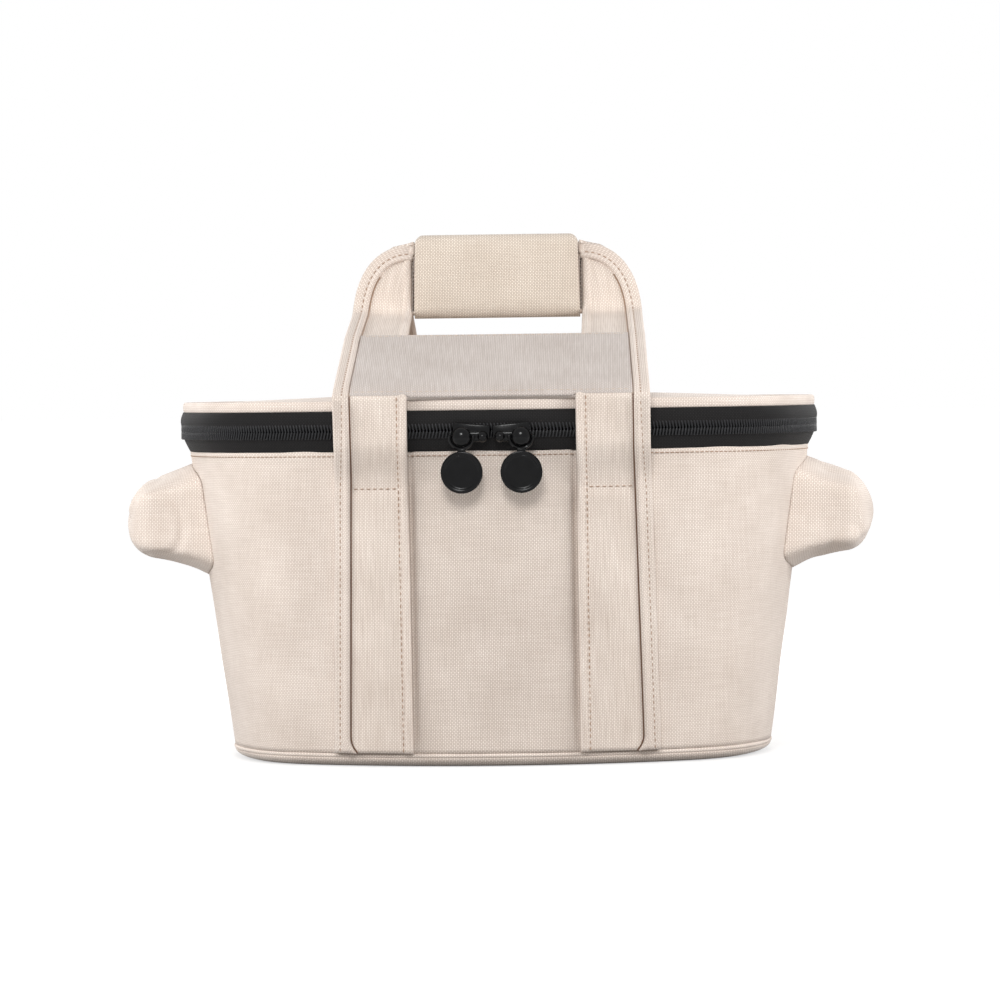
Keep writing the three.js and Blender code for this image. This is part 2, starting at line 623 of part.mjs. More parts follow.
// Above the bar-tack a strap leaves the wall's curve, so that its top lies along the straight crease
function strapFlare(x, z) {
  const freeShare = Math.max(0, (z - tackZ) / (strapTopZ - tackZ));
  return (frontY(STRAP_INNER_X, strapInset) - frontY(x, strapInset)) * freeShare;
}

function strapLayer(columns, liftFrom, liftTo) {
  return sheet(columns, strapRows, (x, z, face) => {
    const inset = strapBackInset(z) - (face ? liftTo : liftFrom);
    return new THREE.Vector3(x, frontY(x, inset) + strapFlare(x, z), z);
  });
}

// Handles: one route in Y and Z for the middle of the cloth, from the crease to the top of the arch
const creaseY = frontY(STRAP_INNER_X, creaseInset);
const barY = -(BARS_APART + STRAP_THICKNESS) / 2;
const yokeTopY = creaseY + YOKE_LENGTH * Math.cos(YOKE_ANGLE);
const yokeTopZ = creaseZ + YOKE_LENGTH * Math.sin(YOKE_ANGLE);
const bendZ = yokeTopZ + (barY - yokeTopY) * Math.tan(HAND_SIDE_ANGLE);
const archTopZ = bendZ + ARCH_HEIGHT;
const bendIn = new THREE.Vector2(barY, bendZ).add(
  new THREE.Vector2(-Math.cos(HAND_SIDE_ANGLE), -Math.sin(HAND_SIDE_ANGLE)).multiplyScalar(BEND_RADIUS),
);
const route = new THREE.Path();
route.moveTo(creaseY, creaseZ);
route.lineTo(yokeTopY, yokeTopZ);
route.lineTo(bendIn.x, bendIn.y);
route.quadraticCurveTo(barY, bendZ, barY, bendZ + BEND_RADIUS);
route.lineTo(barY, archTopZ);
const routeLength = route.getLength();
const [, handSideEnd, bendEnd] = route.getCurveLengths();

function handlePoint(x, along, lift) {
  const share = along / routeLength;
  const spot = route.getPoint(share);
  const tangent = route.getTangent(share);
  return new THREE.Vector3(x, spot.x - tangent.y * lift, spot.y + tangent.x * lift);
}

// Half the handle's width: it narrows to the bend, then the arch's shoulder closes in as an ellipse
function handleHalfWidth(along) {
  if (along <= handSideEnd) return lerp(strapOuterX, ARCH_HALF_WIDTH, along / handSideEnd);
  const rise = (along - handSideEnd) / (routeLength - handSideEnd);
  const shoulder = ARCH_HALF_WIDTH - ARCH_TOP_HALF_WIDTH;
  return ARCH_TOP_HALF_WIDTH + shoulder * Math.sqrt(Math.max(0, 1 - rise * rise));
}

function handleLoop() {
  const barFrom = bendEnd + BAR_RISE - BEND_RADIUS / 2;
  const shoulderRows = [0.25, 0.5, 0.7, 0.87, 1].map((t) => lerp(barFrom, routeLength, t));
  const yokeRows = [0, 0.25, 0.5, 0.75, 1].map((t) => t * YOKE_LENGTH);
  const bendRows = range(6).map((k) => lerp(handSideEnd, bendEnd, k / 5));
  const rows = [...yokeRows, ...bendRows, barFrom, ...shoulderRows];
  const legColumns = [0, 1 / 3, 2 / 3, 1].map((t) => (half) => lerp(STRAP_INNER_X, half, t));
  const barColumns = [-0.5, 0, 0.5].map((t) => () => t * STRAP_INNER_X);
  const columns = [
    ...legColumns.toReversed().map((column) => (half) => -column(half)),
    ...barColumns,
    ...legColumns,
  ];
  const legCells = legColumns.length - 1;
  const barRow = rows.indexOf(barFrom);
  const keep = (i, j) => i < legCells || i >= columns.length - 1 - legCells || j >= barRow;
  const place = (column, along, face) =>
    handlePoint(column(handleHalfWidth(along)), along, (face ? 1 : -1) * (STRAP_THICKNESS / 2));
  return sheet(columns, rows, place, { keep });
}

const onLoop = STRAP_THICKNESS / 2 + SEAM_GAP;

function yokePanel() {
  const columns = range(9).map((k) => k / 4 - 1);
  const rows = [0, 0.25, 0.5, 0.75, 1].map((t) => t * YOKE_LENGTH);
  return sheet(columns, rows, (t, along, face) => {
    const half = handleHalfWidth(along) - BINDING_WIDTH - SEAM_GAP;
    return handlePoint(t * half, along, onLoop + (face ? YOKE_PANEL : 0));
  });
}

// Binding along the handle's outer edge, from the crease up and over the shoulder
function archBinding(side) {
  const straight = [0, 0.25, 0.5, 0.75].map((t) => t * YOKE_LENGTH).concat(YOKE_LENGTH);
  const shoulder = ARCH_HALF_WIDTH - ARCH_TOP_HALF_WIDTH;
  const shoulderLength = routeLength - handSideEnd;
  const spots = straight.map((along) => ({ x: handleHalfWidth(along), along, inX: -1, inAlong: 0 }));
  for (const t of [0, 4, 8, 12, 16, 20, 36, 52, 66, 78, 90].map(degToRad)) {
    const normal = new THREE.Vector2(Math.cos(t) / shoulder, Math.sin(t) / shoulderLength).normalize();
    const x = ARCH_TOP_HALF_WIDTH + shoulder * Math.cos(t);
    const along = handSideEnd + shoulderLength * Math.sin(t);
    spots.push({ x, along, inX: -normal.x, inAlong: -normal.y });
  }
  return sheet([0, 1], spots, (t, spot, face) => {
    const x = spot.x + spot.inX * BINDING_WIDTH * t;
    const along = spot.along + spot.inAlong * BINDING_WIDTH * t;
    return handlePoint(side * x, along, onLoop + (face ? BINDING : 0));
  });
}

for (const [end, turn] of [['front', 0], ['rear', Math.PI]]) {
  const group = new THREE.Group();
  group.rotation.z = turn;
  carrier.add(group);
  addPiece(group, `${end}_handle_loop`, handleLoop(), canvas);
  addPiece(group, `${end}_yoke_panel`, yokePanel(), canvas);
  for (const side of [-1, 1]) {
    const label = (side < 0) === (end === 'front') ? 'left' : 'right';
    const bindingLift = STRAP_THICKNESS + SEAM_GAP;
    const mirrored = (columns) => columns.map((x) => side * x);
    const leg = strapLayer(mirrored(strapColumns), 0, STRAP_THICKNESS);
    const edge = strapLayer(mirrored(bindingColumns), bindingLift, bindingLift + BINDING);
    addPiece(group, `${end}_${label}_strap`, leg, canvas);
    addPiece(group, `${end}_${label}_strap_binding`, edge, canvas);
    addPiece(group, `${end}_${label}_arch_binding`, archBinding(side), canvas);
  }
}

// Grip wrap: half a sleeve in front of the bars, and the flap behind them as the other half
const gripHalfDepth = BARS_APART / 2 + STRAP_THICKNESS + SEAM_GAP + GRIP_FOAM + SEAM_GAP + CANVAS;
const gripFoamInset = CANVAS + SEAM_GAP;
const gripHollowInset = gripFoamInset + GRIP_FOAM;
const gripTopZ = archTopZ + GRIP_HEADROOM + gripHollowInset;
const gripFootZ = bendZ - GRIP_UNDERHANG;

function gripSection(inset) {
  const corner = Math.max(GRIP_ROUND - inset, SEAM_GAP);
  const [y, foot, top] = [inset - gripHalfDepth, gripFootZ + inset, gripTopZ - inset];
  const section = new THREE.Path();
  section.moveTo(-SEAM_GAP / 2, foot);
  section.lineTo(y + corner, foot);
  section.quadraticCurveTo(y, foot, y, foot + corner);
  section.lineTo(y, top - corner);
  section.quadraticCurveTo(y, top, y + corner, top);
  section.lineTo(-SEAM_GAP / 2, top);
  return section.getPoints(4);
}

function gripHalf(side, insetFrom, insetTo) {
  const [outer, inner] = [gripSection(insetFrom), gripSection(insetTo)];
  return sheet([-GRIP_HALF_LENGTH, GRIP_HALF_LENGTH], range(outer.length), (x, k, face) => {
    const spot = (face ? outer : inner)[k];
    return new THREE.Vector3(x, side * spot.x, spot.y);
  });
}

const fastenerHalf = GRIP_HALF_LENGTH - FASTENER_END_MARGIN;
const fastenerReach = gripHalfDepth - gripHollowInset - SEAM_GAP;
const loopTapeZ = gripFootZ + gripHollowInset + SEAM_GAP;
const hookTapeZ = loopTapeZ + FASTENER + SEAM_GAP;
const loopTape = block(-fastenerHalf, fastenerHalf, -fastenerReach, 0, loopTapeZ, loopTapeZ + FASTENER);
const hookTapeTop = hookTapeZ + FASTENER;
const hookTape = block(-fastenerHalf, fastenerHalf, -fastenerReach, fastenerReach, hookTapeZ, hookTapeTop);
addPiece(carrier, 'grip_cover', gripHalf(1, 0, CANVAS), canvas);
addPiece(carrier, 'grip_foam', gripHalf(1, gripFoamInset, gripHollowInset), foam);
addPiece(carrier, 'loop_tape', loopTape, fastener);
addPiece(carrier, 'grip_flap_cover', gripHalf(-1, 0, CANVAS), canvas);
addPiece(carrier, 'grip_flap_foam', gripHalf(-1, gripFoamInset, gripHollowInset), foam);
addPiece(carrier, 'hook_tape', hookTape, fastener);

export default carrier;
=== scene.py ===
import math

import bpy
import numpy as np
from mathutils import Matrix, Vector, noise


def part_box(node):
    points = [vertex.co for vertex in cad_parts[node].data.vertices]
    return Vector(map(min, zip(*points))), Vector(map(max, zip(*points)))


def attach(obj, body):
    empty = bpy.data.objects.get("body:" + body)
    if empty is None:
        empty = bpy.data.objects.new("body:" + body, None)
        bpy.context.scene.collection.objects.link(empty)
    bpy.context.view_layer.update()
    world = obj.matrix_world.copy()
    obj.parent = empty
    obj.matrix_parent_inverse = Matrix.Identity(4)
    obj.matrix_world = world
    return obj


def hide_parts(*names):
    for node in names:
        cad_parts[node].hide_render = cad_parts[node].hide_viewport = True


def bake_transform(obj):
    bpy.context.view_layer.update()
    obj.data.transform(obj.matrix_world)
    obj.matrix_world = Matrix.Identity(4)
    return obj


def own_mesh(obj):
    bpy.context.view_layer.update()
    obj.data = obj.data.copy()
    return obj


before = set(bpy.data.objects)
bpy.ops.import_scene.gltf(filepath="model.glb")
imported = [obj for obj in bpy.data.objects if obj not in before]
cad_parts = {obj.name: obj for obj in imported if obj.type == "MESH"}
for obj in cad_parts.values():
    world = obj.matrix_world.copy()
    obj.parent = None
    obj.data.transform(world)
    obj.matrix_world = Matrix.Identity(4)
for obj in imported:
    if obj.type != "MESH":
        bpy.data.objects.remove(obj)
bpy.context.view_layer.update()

# Base panel: an oval of cream canvas that the carrier stands on, turned up round its edge.
# It is cut from the same cotton canvas as the walls and sewn to their foot all round.
RIM_HALF_WIDTH = 0.1745
RIM_HALF_DEPTH = 0.146
RIM_CORNER_RADIUS = 0.095
FRONT_ARC_HALF_ANGLE = math.radians(28)
SIDE_ARC_HALF_ANGLE = math.radians(24)
CANVAS = 0.0015
WALL_FOOT_INSET = 0.0273
BASE_ROUND_REACH = 0.012
BASE_COLUMNS = 180
BASE_ROWS = 30
CANVAS_THREAD = (255, 250, 243)
# The gap colour is painted shade between the threads.
CANVAS_GAP = (192, 176, 165)
CANVAS_PITCH = 0.00096
YARN_STRETCH = 0.05
YARN_CHANGE = 0.8
YARN_DARK = (236, 230, 226)
YARN_LIGHT = (1.12, 1.12, 1.12, 1.0)
WEFT_RISE = 0.55
BLOTCH_DARK = (230, 226, 223)
BLOTCH_LIGHT = (1.04, 1.04, 1.04, 1.0)
BLOTCH_FINENESS = 34.0
BLOTCH_DETAIL = 3.0
MERGE_REACH = 1e-6
BASE_FLAT_SHARE = 0.5
base_top_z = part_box("base_panel")[1].z


def arc_radii():
    """Radii of the front and side arcs that close the rim's outline through its corner arcs."""
    sin_front, cos_front = math.sin(FRONT_ARC_HALF_ANGLE), math.cos(FRONT_ARC_HALF_ANGLE)
    sin_side, cos_side = math.sin(SIDE_ARC_HALF_ANGLE), math.cos(SIDE_ARC_HALF_ANGLE)
    width = RIM_HALF_WIDTH - RIM_CORNER_RADIUS * (cos_side - sin_front)
    depth = RIM_HALF_DEPTH - RIM_CORNER_RADIUS * (cos_front - sin_side)
    determinant = sin_front * sin_side - (1 - cos_side) * (1 - cos_front)
    front = (width * sin_side - depth * (1 - cos_side)) / determinant
    side = (depth * sin_front - width * (1 - cos_front)) / determinant
    return front, side


front_radius, side_radius = arc_radii()
front_centre_y = front_radius - RIM_HALF_DEPTH
side_centre_x = RIM_HALF_WIDTH - side_radius


def outline(turn, inset):
    """X and Y of the rim's outline where it faces `turn` round from the front, moved in by `inset`."""
    sin, cos = np.sin(turn), np.cos(turn)
    acute = np.arctan2(np.abs(sin), np.abs(cos))
    spots = [acute <= FRONT_ARC_HALF_ANGLE, acute >= math.pi / 2 - SIDE_ARC_HALF_ANGLE]
    corner_reach = front_radius - RIM_CORNER_RADIUS
    corner_x = corner_reach * math.sin(FRONT_ARC_HALF_ANGLE)
    corner_y = corner_reach * math.cos(FRONT_ARC_HALF_ANGLE) - front_centre_y
    centre_x = np.select(spots, [0.0, side_centre_x], corner_x)
    centre_y = np.select(spots, [-front_centre_y, 0.0], corner_y)
    radius = np.select(spots, [front_radius, side_radius], RIM_CORNER_RADIUS) - inset
    x = centre_x + radius * np.sin(acute)
    y = centre_y + radius * np.cos(acute)
    return np.sign(sin) * x, -np.sign(cos) * y


def whole_turn(along):
    """Turn from the front, once round the carrier, of points that lie `along` it from 0 to 1."""
    return (along * 2 - 1) * math.pi


def path_reach(path):
    """How far along a path each of its points lies."""
    return np.concatenate([[0], np.cumsum(np.linalg.norm(np.diff(path, axis=0), axis=1))])


def along_path(values, reach, where):
    """Columns of a path's values, taken between its points at distances `where` along it."""
    return np.column_stack([np.interp(where, reach, column) for column in values.T])


def vertex_places(piece):
    places = np.zeros(3 * len(piece.data.vertices))
    piece.data.vertices.foreach_get("co", places)
    return places.reshape(-1, 3)


def move_vertices(piece, places):
    piece.data.vertices.foreach_set("co", np.asarray(places, float).ravel())
    piece.data.update()


def make_active(piece):
    bpy.ops.object.select_all(action="DESELECT")
    piece.select_set(True)
    bpy.context.view_layer.objects.active = piece


def merge_points(reach):
    """Merges points of the active piece that lie within `reach` of each other."""
    bpy.ops.object.mode_set(mode="EDIT")
    bpy.ops.mesh.select_all(action="SELECT")
    bpy.ops.mesh.remove_doubles(threshold=reach)
    bpy.ops.object.mode_set(mode="OBJECT")


def lay_threads(piece, table, flat_cut):
    """Maps the cloth in metres: on its plan, or along its rows from the middle and up its columns."""
    if flat_cut:
        spots = table[:, :, :2].reshape(-1, 2)
    else:
        along = np.pad(np.cumsum(np.linalg.norm(np.diff(table, axis=1), axis=2), axis=1), ((0, 0), (1, 0)))
        up = np.pad(np.cumsum(np.linalg.norm(np.diff(table, axis=0), axis=2), axis=0), ((1, 0), (0, 0)))
        along -= along[:, [table.shape[1] // 2]]
        spots = np.stack([along, up], axis=2).reshape(-1, 2)
    corners = np.zeros(len(piece.data.loops), np.int32)
    piece.data.loops.foreach_get("vertex_index", corners)
    piece.data.uv_layers.active.data.foreach_set("uv", spots[corners].ravel())


def cloth_grid(name, columns, rows, place, weld=False, flat_cut=False):
    """A grid of cloth. `place` gives X, Y and Z of points from how far along and up they lie, 0 to 1."""
    bpy.ops.object.select_all(action="DESELECT")
    bpy.ops.mesh.primitive_grid_add(x_subdivisions=columns, y_subdivisions=rows, size=1)
    piece = bpy.context.object
    piece.name = name
    piece.data.name = name
    share = vertex_places(piece) + 0.5
    points = np.column_stack(np.broadcast_arrays(*place(share[:, 0], share[:, 1])))
    move_vertices(piece, points)
    lay_threads(piece, points.reshape(rows + 1, columns + 1, 3), flat_cut)
    if weld:
        merge_points(MERGE_REACH)
    bpy.ops.object.shade_smooth()
    return piece


def lay_threads_by_face(piece):
    """Maps the cloth in metres on each face's own side, for shapes that close over their ends."""
    places = vertex_places(piece)
    for face in piece.data.polygons:
        size = [abs(part) for part in face.normal]
        kept = [k for k in (0, 1, 2) if k != size.index(max(size))]
        for loop, vertex in zip(face.loop_indices, face.vertices):
            piece.data.uv_layers.active.data[loop].uv = places[vertex][kept]


def apply_modifier(piece, kind, **settings):
    make_active(piece)
    modifier = piece.modifiers.new(kind.lower(), kind)
    for key, value in settings.items():
        setattr(modifier, key, value)
    bpy.ops.object.modifier_apply(modifier=modifier.name)


def thicken(piece, depth):
    """Gives a sheet its thickness, behind the face that was modelled."""
    apply_modifier(piece, "SOLIDIFY", thickness=depth, offset=-1.0)


def linear(colour):
    """A colour written as 0 to 255 in sRGB, as the linear values that sockets take."""
    shares = [channel / 255 for channel in colour]
    curved = [s / 12.92 if s <= 0.04045 else ((s + 0.055) / 1.055) ** 2.4 for s in shares]
    return (*curved, 1.0)


def set_sockets(node, values):
    """Gives a node's sockets their values, or links where a value is another node's output."""
    for name, value in values.items():
        if isinstance(value, bpy.types.NodeSocket):
            node.id_data.links.new(value, node.inputs[name])
        else:
            node.inputs[name].default_value = value


def math_node(tree, operation, first, second=0.0):
    node = tree.nodes.new("ShaderNodeMath")
    node.operation = operation
    set_sockets(node, {0: first, 1: second})
    return node.outputs[0]


def mix_colours(tree, blend, factor, first, second):
    node = tree.nodes.new("ShaderNodeMix")
    node.data_type = "RGBA"
    node.blend_type = blend
    spots = {socket.identifier: spot for spot, socket in enumerate(node.inputs)}
    set_sockets(node, {spots["Factor_Float"]: factor, spots["A_Color"]: first, spots["B_Color"]: second})
    return next(socket for socket in node.outputs if socket.identifier == "Result_Color")


def new_group(name, inputs, outputs):
    """A shader node group with named sockets, what it is given and the node that takes its results."""
    tree = bpy.data.node_groups.new(name, "ShaderNodeTree")
    for way, sockets in (("INPUT", inputs), ("OUTPUT", outputs)):
        for label, kind in sockets.items():
            tree.interface.new_socket(label, in_out=way, socket_type=f"NodeSocket{kind}")
    return tree, tree.nodes.new("NodeGroupInput").outputs, tree.nodes.new("NodeGroupOutput")


def streaks(tree, along_thread, across_thread):
    """Uneven yarn: noise that changes from thread to thread and slowly along each one."""
    combine = tree.nodes.new("ShaderNodeCombineXYZ")
    slow = math_node(tree, "MULTIPLY", along_thread, YARN_STRETCH)
    set_sockets(combine, {"X": slow, "Y": math_node(tree, "MULTIPLY", across_thread, YARN_CHANGE)})
    yarn = tree.nodes.new("ShaderNodeTexNoise")
    yarn.noise_dimensions = "2D"
    set_sockets(yarn, {"Vector": combine.outputs[0], "Scale": 1.0, "Detail": 2.0})
    return math_node(tree, "SUBTRACT", yarn.outputs[0], 0.5)


def weave_group():
    """Plain weave over a cloth's UV map: threads of uneven yarn over and under, painted darker between them
    as shade.
    """
    inputs = {"Cloth": "Vector", "Pitch": "Float", "Warp slub": "Float", "Weft slub": "Float"}
    colours = {"Thread": "Color", "Gap": "Color"}
    tree, given, result = new_group("plain_weave", inputs | colours, {"Colour": "Color", "Height": "Float"})
    split = tree.nodes.new("ShaderNodeSeparateXYZ")
    set_sockets(split, {0: given["Cloth"]})
    across = math_node(tree, "DIVIDE", split.outputs["X"], given["Pitch"])
    up = math_node(tree, "DIVIDE", split.outputs["Y"], given["Pitch"])

    def thread_height(over, along, sign):
        arch = math_node(tree, "SINE", math_node(tree, "MULTIPLY", over, math.pi))
        round_top = math_node(tree, "ABSOLUTE", arch)
        half_on = math_node(tree, "SUBTRACT", along, 0.5)
        phase = math_node(tree, "ADD", half_on, math_node(tree, "FLOOR", over))
        wave = math_node(tree, "COSINE", math_node(tree, "MULTIPLY", phase, math.pi))
        rise = math_node(tree, "ADD", math_node(tree, "MULTIPLY", wave, 0.5 * sign), 0.5)
        return math_node(tree, "MULTIPLY", round_top, rise)

    weft_height = math_node(tree, "MULTIPLY", thread_height(up, across, -1), WEFT_RISE)
    height = math_node(tree, "MAXIMUM", thread_height(across, up, 1), weft_height)
    warp = math_node(tree, "MULTIPLY", streaks(tree, up, across), given["Warp slub"])
    weft = math_node(tree, "MULTIPLY", streaks(tree, across, up), given["Weft slub"])
    slub = math_node(tree, "ADD", math_node(tree, "ADD", warp, weft), 0.5)
    # Painted shade: the colour darkens from each thread's crown down into the gap between threads.
    threads = mix_colours(tree, "MIX", height, given["Gap"], given["Thread"])
    yarn = mix_colours(tree, "MIX", slub, linear(YARN_DARK), YARN_LIGHT)
    set_sockets(result, {"Colour": mix_colours(tree, "MULTIPLY", 1.0, threads, yarn), "Height": height})
    return tree


def uneven_group():
    """A surface that is uneven between two tones, in spots of a given fineness."""
    inputs = {"Place": "Vector", "Dark": "Color", "Light": "Color", "Fineness": "Float", "Detail": "Float"}
    tree, given, result = new_group("uneven_tone", inputs, {"Colour": "Color", "Spots": "Float"})
    grain = tree.nodes.new("ShaderNodeTexNoise")
    set_sockets(grain, {"Vector": given["Place"], "Scale": given["Fineness"], "Detail": given["Detail"]})
    colour = mix_colours(tree, "MIX", grain.outputs[0], given["Dark"], given["Light"])
    set_sockets(result, {"Colour": colour, "Spots": grain.outputs[0]})
    return tree


plain_weave, uneven_tone = weave_group(), uneven_group()


def new_material(name):
    """A new material, its surface node and the places on the piece that its nodes may read."""
    material = bpy.data.materials.new(name)
    material.use_nodes = True
    nodes = material.node_tree.nodes
    return material, nodes["Principled BSDF"], nodes.new("ShaderNodeTexCoord").outputs


def placed_group(material, group, values):
    """A group placed in a material with its own values. Gives its outputs."""
    node = material.node_tree.nodes.new("ShaderNodeGroup")
    node.node_tree = group
    set_sockets(node, values)
    return node.outputs


def uneven(material, place, dark, light, fineness, detail):
    spots = {"Place": place["Object"], "Fineness": fineness, "Detail": detail}
    return placed_group(material, uneven_tone, spots | {"Dark": dark, "Light": light})


def woven_material(name, thread, gap, pitch, warp_slub, weft_slub, bump=0.35, roughness=0.9, sheen=0.2):
    """Cloth of one colour: painted darker between its threads as shade, streaked by its yarn and a little
    blotched.
    """
    material, surface, place = new_material(name)
    yarn = {"Pitch": pitch, "Warp slub": warp_slub, "Weft slub": weft_slub}
    colours = {"Thread": linear(thread), "Gap": linear(gap)}
    weave = placed_group(material, plain_weave, {"Cloth": place["UV"]} | yarn | colours)
    blotch = uneven(material, place, linear(BLOTCH_DARK), BLOTCH_LIGHT, BLOTCH_FINENESS, BLOTCH_DETAIL)
    colour = mix_colours(material.node_tree, "MULTIPLY", 1.0, weave["Colour"], blotch["Colour"])
    relief = material.node_tree.nodes.new("ShaderNodeBump")
    set_sockets(relief, {"Strength": bump, "Distance": pitch / 3, "Height": weave["Height"]})
    set_sockets(surface, {"Base Color": colour, "Normal": relief.outputs["Normal"]})
    set_sockets(surface, {"Roughness": roughness, "Sheen Weight": sheen, "Specular IOR Level": 0.25})
    return material


canvas = woven_material("cream_canvas", CANVAS_THREAD, CANVAS_GAP, CANVAS_PITCH, 0.4, 0.45)


def dress(piece, body, slot, material, *nodes):
    """Gives a piece its material and the body it moves with, and hides the nodes that it stands for. Its slot
    is not used.
    """
    piece.data.materials.clear()
    piece.data.materials.append(material)
    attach(piece, body)
    if nodes:
        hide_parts(*nodes)
    return piece


def base_place(along, up):
    flat_share = np.clip(up / BASE_FLAT_SHARE, 0, 1)
    bend = np.clip((up - BASE_FLAT_SHARE) / (1 - BASE_FLAT_SHARE), 0, 1) * math.pi / 2
    inset = WALL_FOOT_INSET + BASE_ROUND_REACH * (1 - np.sin(bend))
    x, y = outline(whole_turn(along), inset)
    return x * flat_share, y * flat_share, base_top_z * (1 - np.cos(bend))


base = cloth_grid("base", BASE_COLUMNS, BASE_ROWS, base_place, weld=True)
lay_threads_by_face(base)
thicken(base, CANVAS)
dress(base, "carrier_body", "canvas", canvas, "base_panel")

# Base board: a stiff brown fibreboard between the base panel and its padding.
# It keeps the floor of the carrier flat under a heavy pot, and is never seen once sewn in.
def grained_material(name, dark, light, fineness, detail=2.0):
    """A solid that is uneven between two tones: its material, its surface node and its grain's spots."""
    material, surface, place = new_material(name)
    grain = uneven(material, place, linear(dark), linear(light), fineness, detail)
    set_sockets(surface, {"Base Color": grain["Colour"]})
    return material, surface, grain["Spots"]


board, board_surface, _ = grained_material("fibreboard", (112, 86, 56), (168, 138, 98), fineness=420.0)
set_sockets(board_surface, {"Roughness": 0.9})
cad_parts["base_board"].data.materials.clear()
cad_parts["base_board"].data.materials.append(board)

# Base piping: a cord covered in bias-cut canvas, caught in the seam between base and walls.
# It stands a little proud of the wall's foot and shows as a light line under a dark seam.
PIPING_RADIUS = 0.0012
PIPING_COLUMNS = 360
PIPING_SIDES = 10
PIPING_PROUD = 0.0006
piping_low, piping_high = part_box("base_piping")
piping_z = (piping_low.z + piping_high.z) / 2
bias_canvas = woven_material("bias_canvas", CANVAS_THREAD, CANVAS_GAP, CANVAS_PITCH, 0.4, 0.4)


def ring_place(inset, half_width, z, half_height, power=1.0):
    """Places points on a ring round the carrier whose section is an oval, or squarer with a lower power."""
    def place(along, up):
        around = up * 2 * math.pi
        out, rise = (np.sign(part) * np.abs(part) ** power for part in (np.cos(around), np.sin(around)))
        return *outline(whole_turn(along), inset - half_width * out), z + half_height * rise
    return place


piping_inset = WALL_FOOT_INSET + PIPING_RADIUS - PIPING_PROUD
piping_place = ring_place(piping_inset, PIPING_RADIUS, piping_z, PIPING_RADIUS)
piping = cloth_grid("piping", PIPING_COLUMNS, PIPING_SIDES, piping_place, weld=True)
dress(piping, "carrier_body", "canvas", bias_canvas, "base_piping")

# Walls: a front and a rear half of canvas over foam, sewn to each other at the sides.
# The canvas is padded from behind, so it swells a little between the seams that hold it down.
WALL_COLUMNS = 240
WALL_ROWS = 66
WALL_PRESSURE = 1.2
WALL_SWELL = 0.0011
GROOVE_DEPTH = 0.0038
GROOVE_WIDTH = 0.0016
GROOVE_BESIDE = 0.0010
WALL_WAVE_SIZE = 0.034
WALL_WAVE = 0.0005
FOOT_SEAM = 0.004
TOP_SEAM = 0.006
SIDE_SEAM = 0.012
STRAPS_BEYOND_Y = 0.06
TACK_HOLD = 0.003
SLOT_HALF_WIDTH = 0.034
SLOT_HALF_HEIGHT = 0.021
POCKET_CENTRE_Z = 0.129
STRAP_INNER_X = 0.0441
STRAP_WIDTH = 0.0391
STRAP_SPREAD = 0.0038
WALL_TOP_INSET = 0.0049
BAR_TACK_DROP = 0.020
wall_foot_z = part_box("front_wall_canvas")[0].z
wall_top_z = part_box("front_wall_canvas")[1].z
tack_z = wall_top_z - BAR_TACK_DROP


def strap_outer(z):
    """How far out a strap's outer edge is: the legs spread a little down to their foot."""
    return STRAP_INNER_X + STRAP_WIDTH + STRAP_SPREAD * np.clip(1 - z / wall_top_z, 0, 1)


def wall_inset(z):
    return np.interp(z, (wall_foot_z, wall_top_z), (WALL_FOOT_INSET, WALL_TOP_INSET))


def ripple(points, size, shift):
    """Smooth unevenness from -1 to 1, in waves of about `size`."""
    offset = Vector((shift, shift * 1.7, -shift))
    return np.array([noise.noise(Vector(point) / size + offset) for point in points])


def delete_faces(piece, inside):
    """Cuts away the faces whose middles `inside` picks."""
    make_active(piece)
    middles = np.array([face.center for face in piece.data.polygons])
    chosen = inside(middles)
    piece.data.vertices.foreach_set("select", np.zeros(len(piece.data.vertices), bool))
    piece.data.edges.foreach_set("select", np.zeros(len(piece.data.edges), bool))
    piece.data.polygons.foreach_set("select", chosen)
    bpy.ops.object.mode_set(mode="EDIT")
    bpy.ops.mesh.select_mode(type="FACE")
    bpy.ops.mesh.delete(type="FACE")
    bpy.ops.object.mode_set(mode="OBJECT")


def in_slot(middles):
    beside = np.abs(middles[:, 1]) < SLOT_HALF_WIDTH
    level = np.abs(middles[:, 2] - POCKET_CENTRE_Z) < SLOT_HALF_HEIGHT
    return beside & level


def swell(piece, sewn, pressure, most, frames=18):
    """Blows the cloth up from behind, held where it is sewn, and limits how far a point may move."""
    rest = vertex_places(piece)
    held = piece.vertex_groups.new(name="sewn")
    held.add(np.flatnonzero(sewn(rest)).tolist(), 1.0, "REPLACE")
    make_active(piece)
    cloth = piece.modifiers.new("cloth", "CLOTH")
    cloth.settings.quality = 4
    cloth.settings.vertex_group_mass = held.name
    cloth.settings.use_pressure = True
    cloth.settings.uniform_pressure_force = pressure
    cloth.settings.effector_weights.gravity = 0
    for step in range(1, frames + 1):
        bpy.context.scene.frame_set(step)
    bpy.ops.object.modifier_apply(modifier=cloth.name)
    moved = vertex_places(piece) - rest
    reach = np.maximum(np.linalg.norm(moved, axis=1), 1e-9)
    move_vertices(piece, rest + moved * np.minimum(1, most / reach)[:, None])
    bpy.context.scene.frame_set(1)
    piece.vertex_groups.clear()


def wall_sewn(points):
    """The seams that hold a wall down: its foot and top, its side seams and the strips under the straps."""
    from_middle, from_side, z = np.abs(points[:, 0]), np.abs(points[:, 1]), points[:, 2]
    at_foot = z < wall_foot_z + FOOT_SEAM
    at_top = z > wall_top_z - TOP_SEAM
    strap = (from_middle > STRAP_INNER_X) & (from_middle < strap_outer(z))
    under_strap = strap & (z < tack_z + TACK_HOLD) & (from_side > STRAPS_BEYOND_Y)
    at_side = from_side < SLOT_HALF_WIDTH + SIDE_SEAM
    return at_foot | at_top | under_strap | at_side


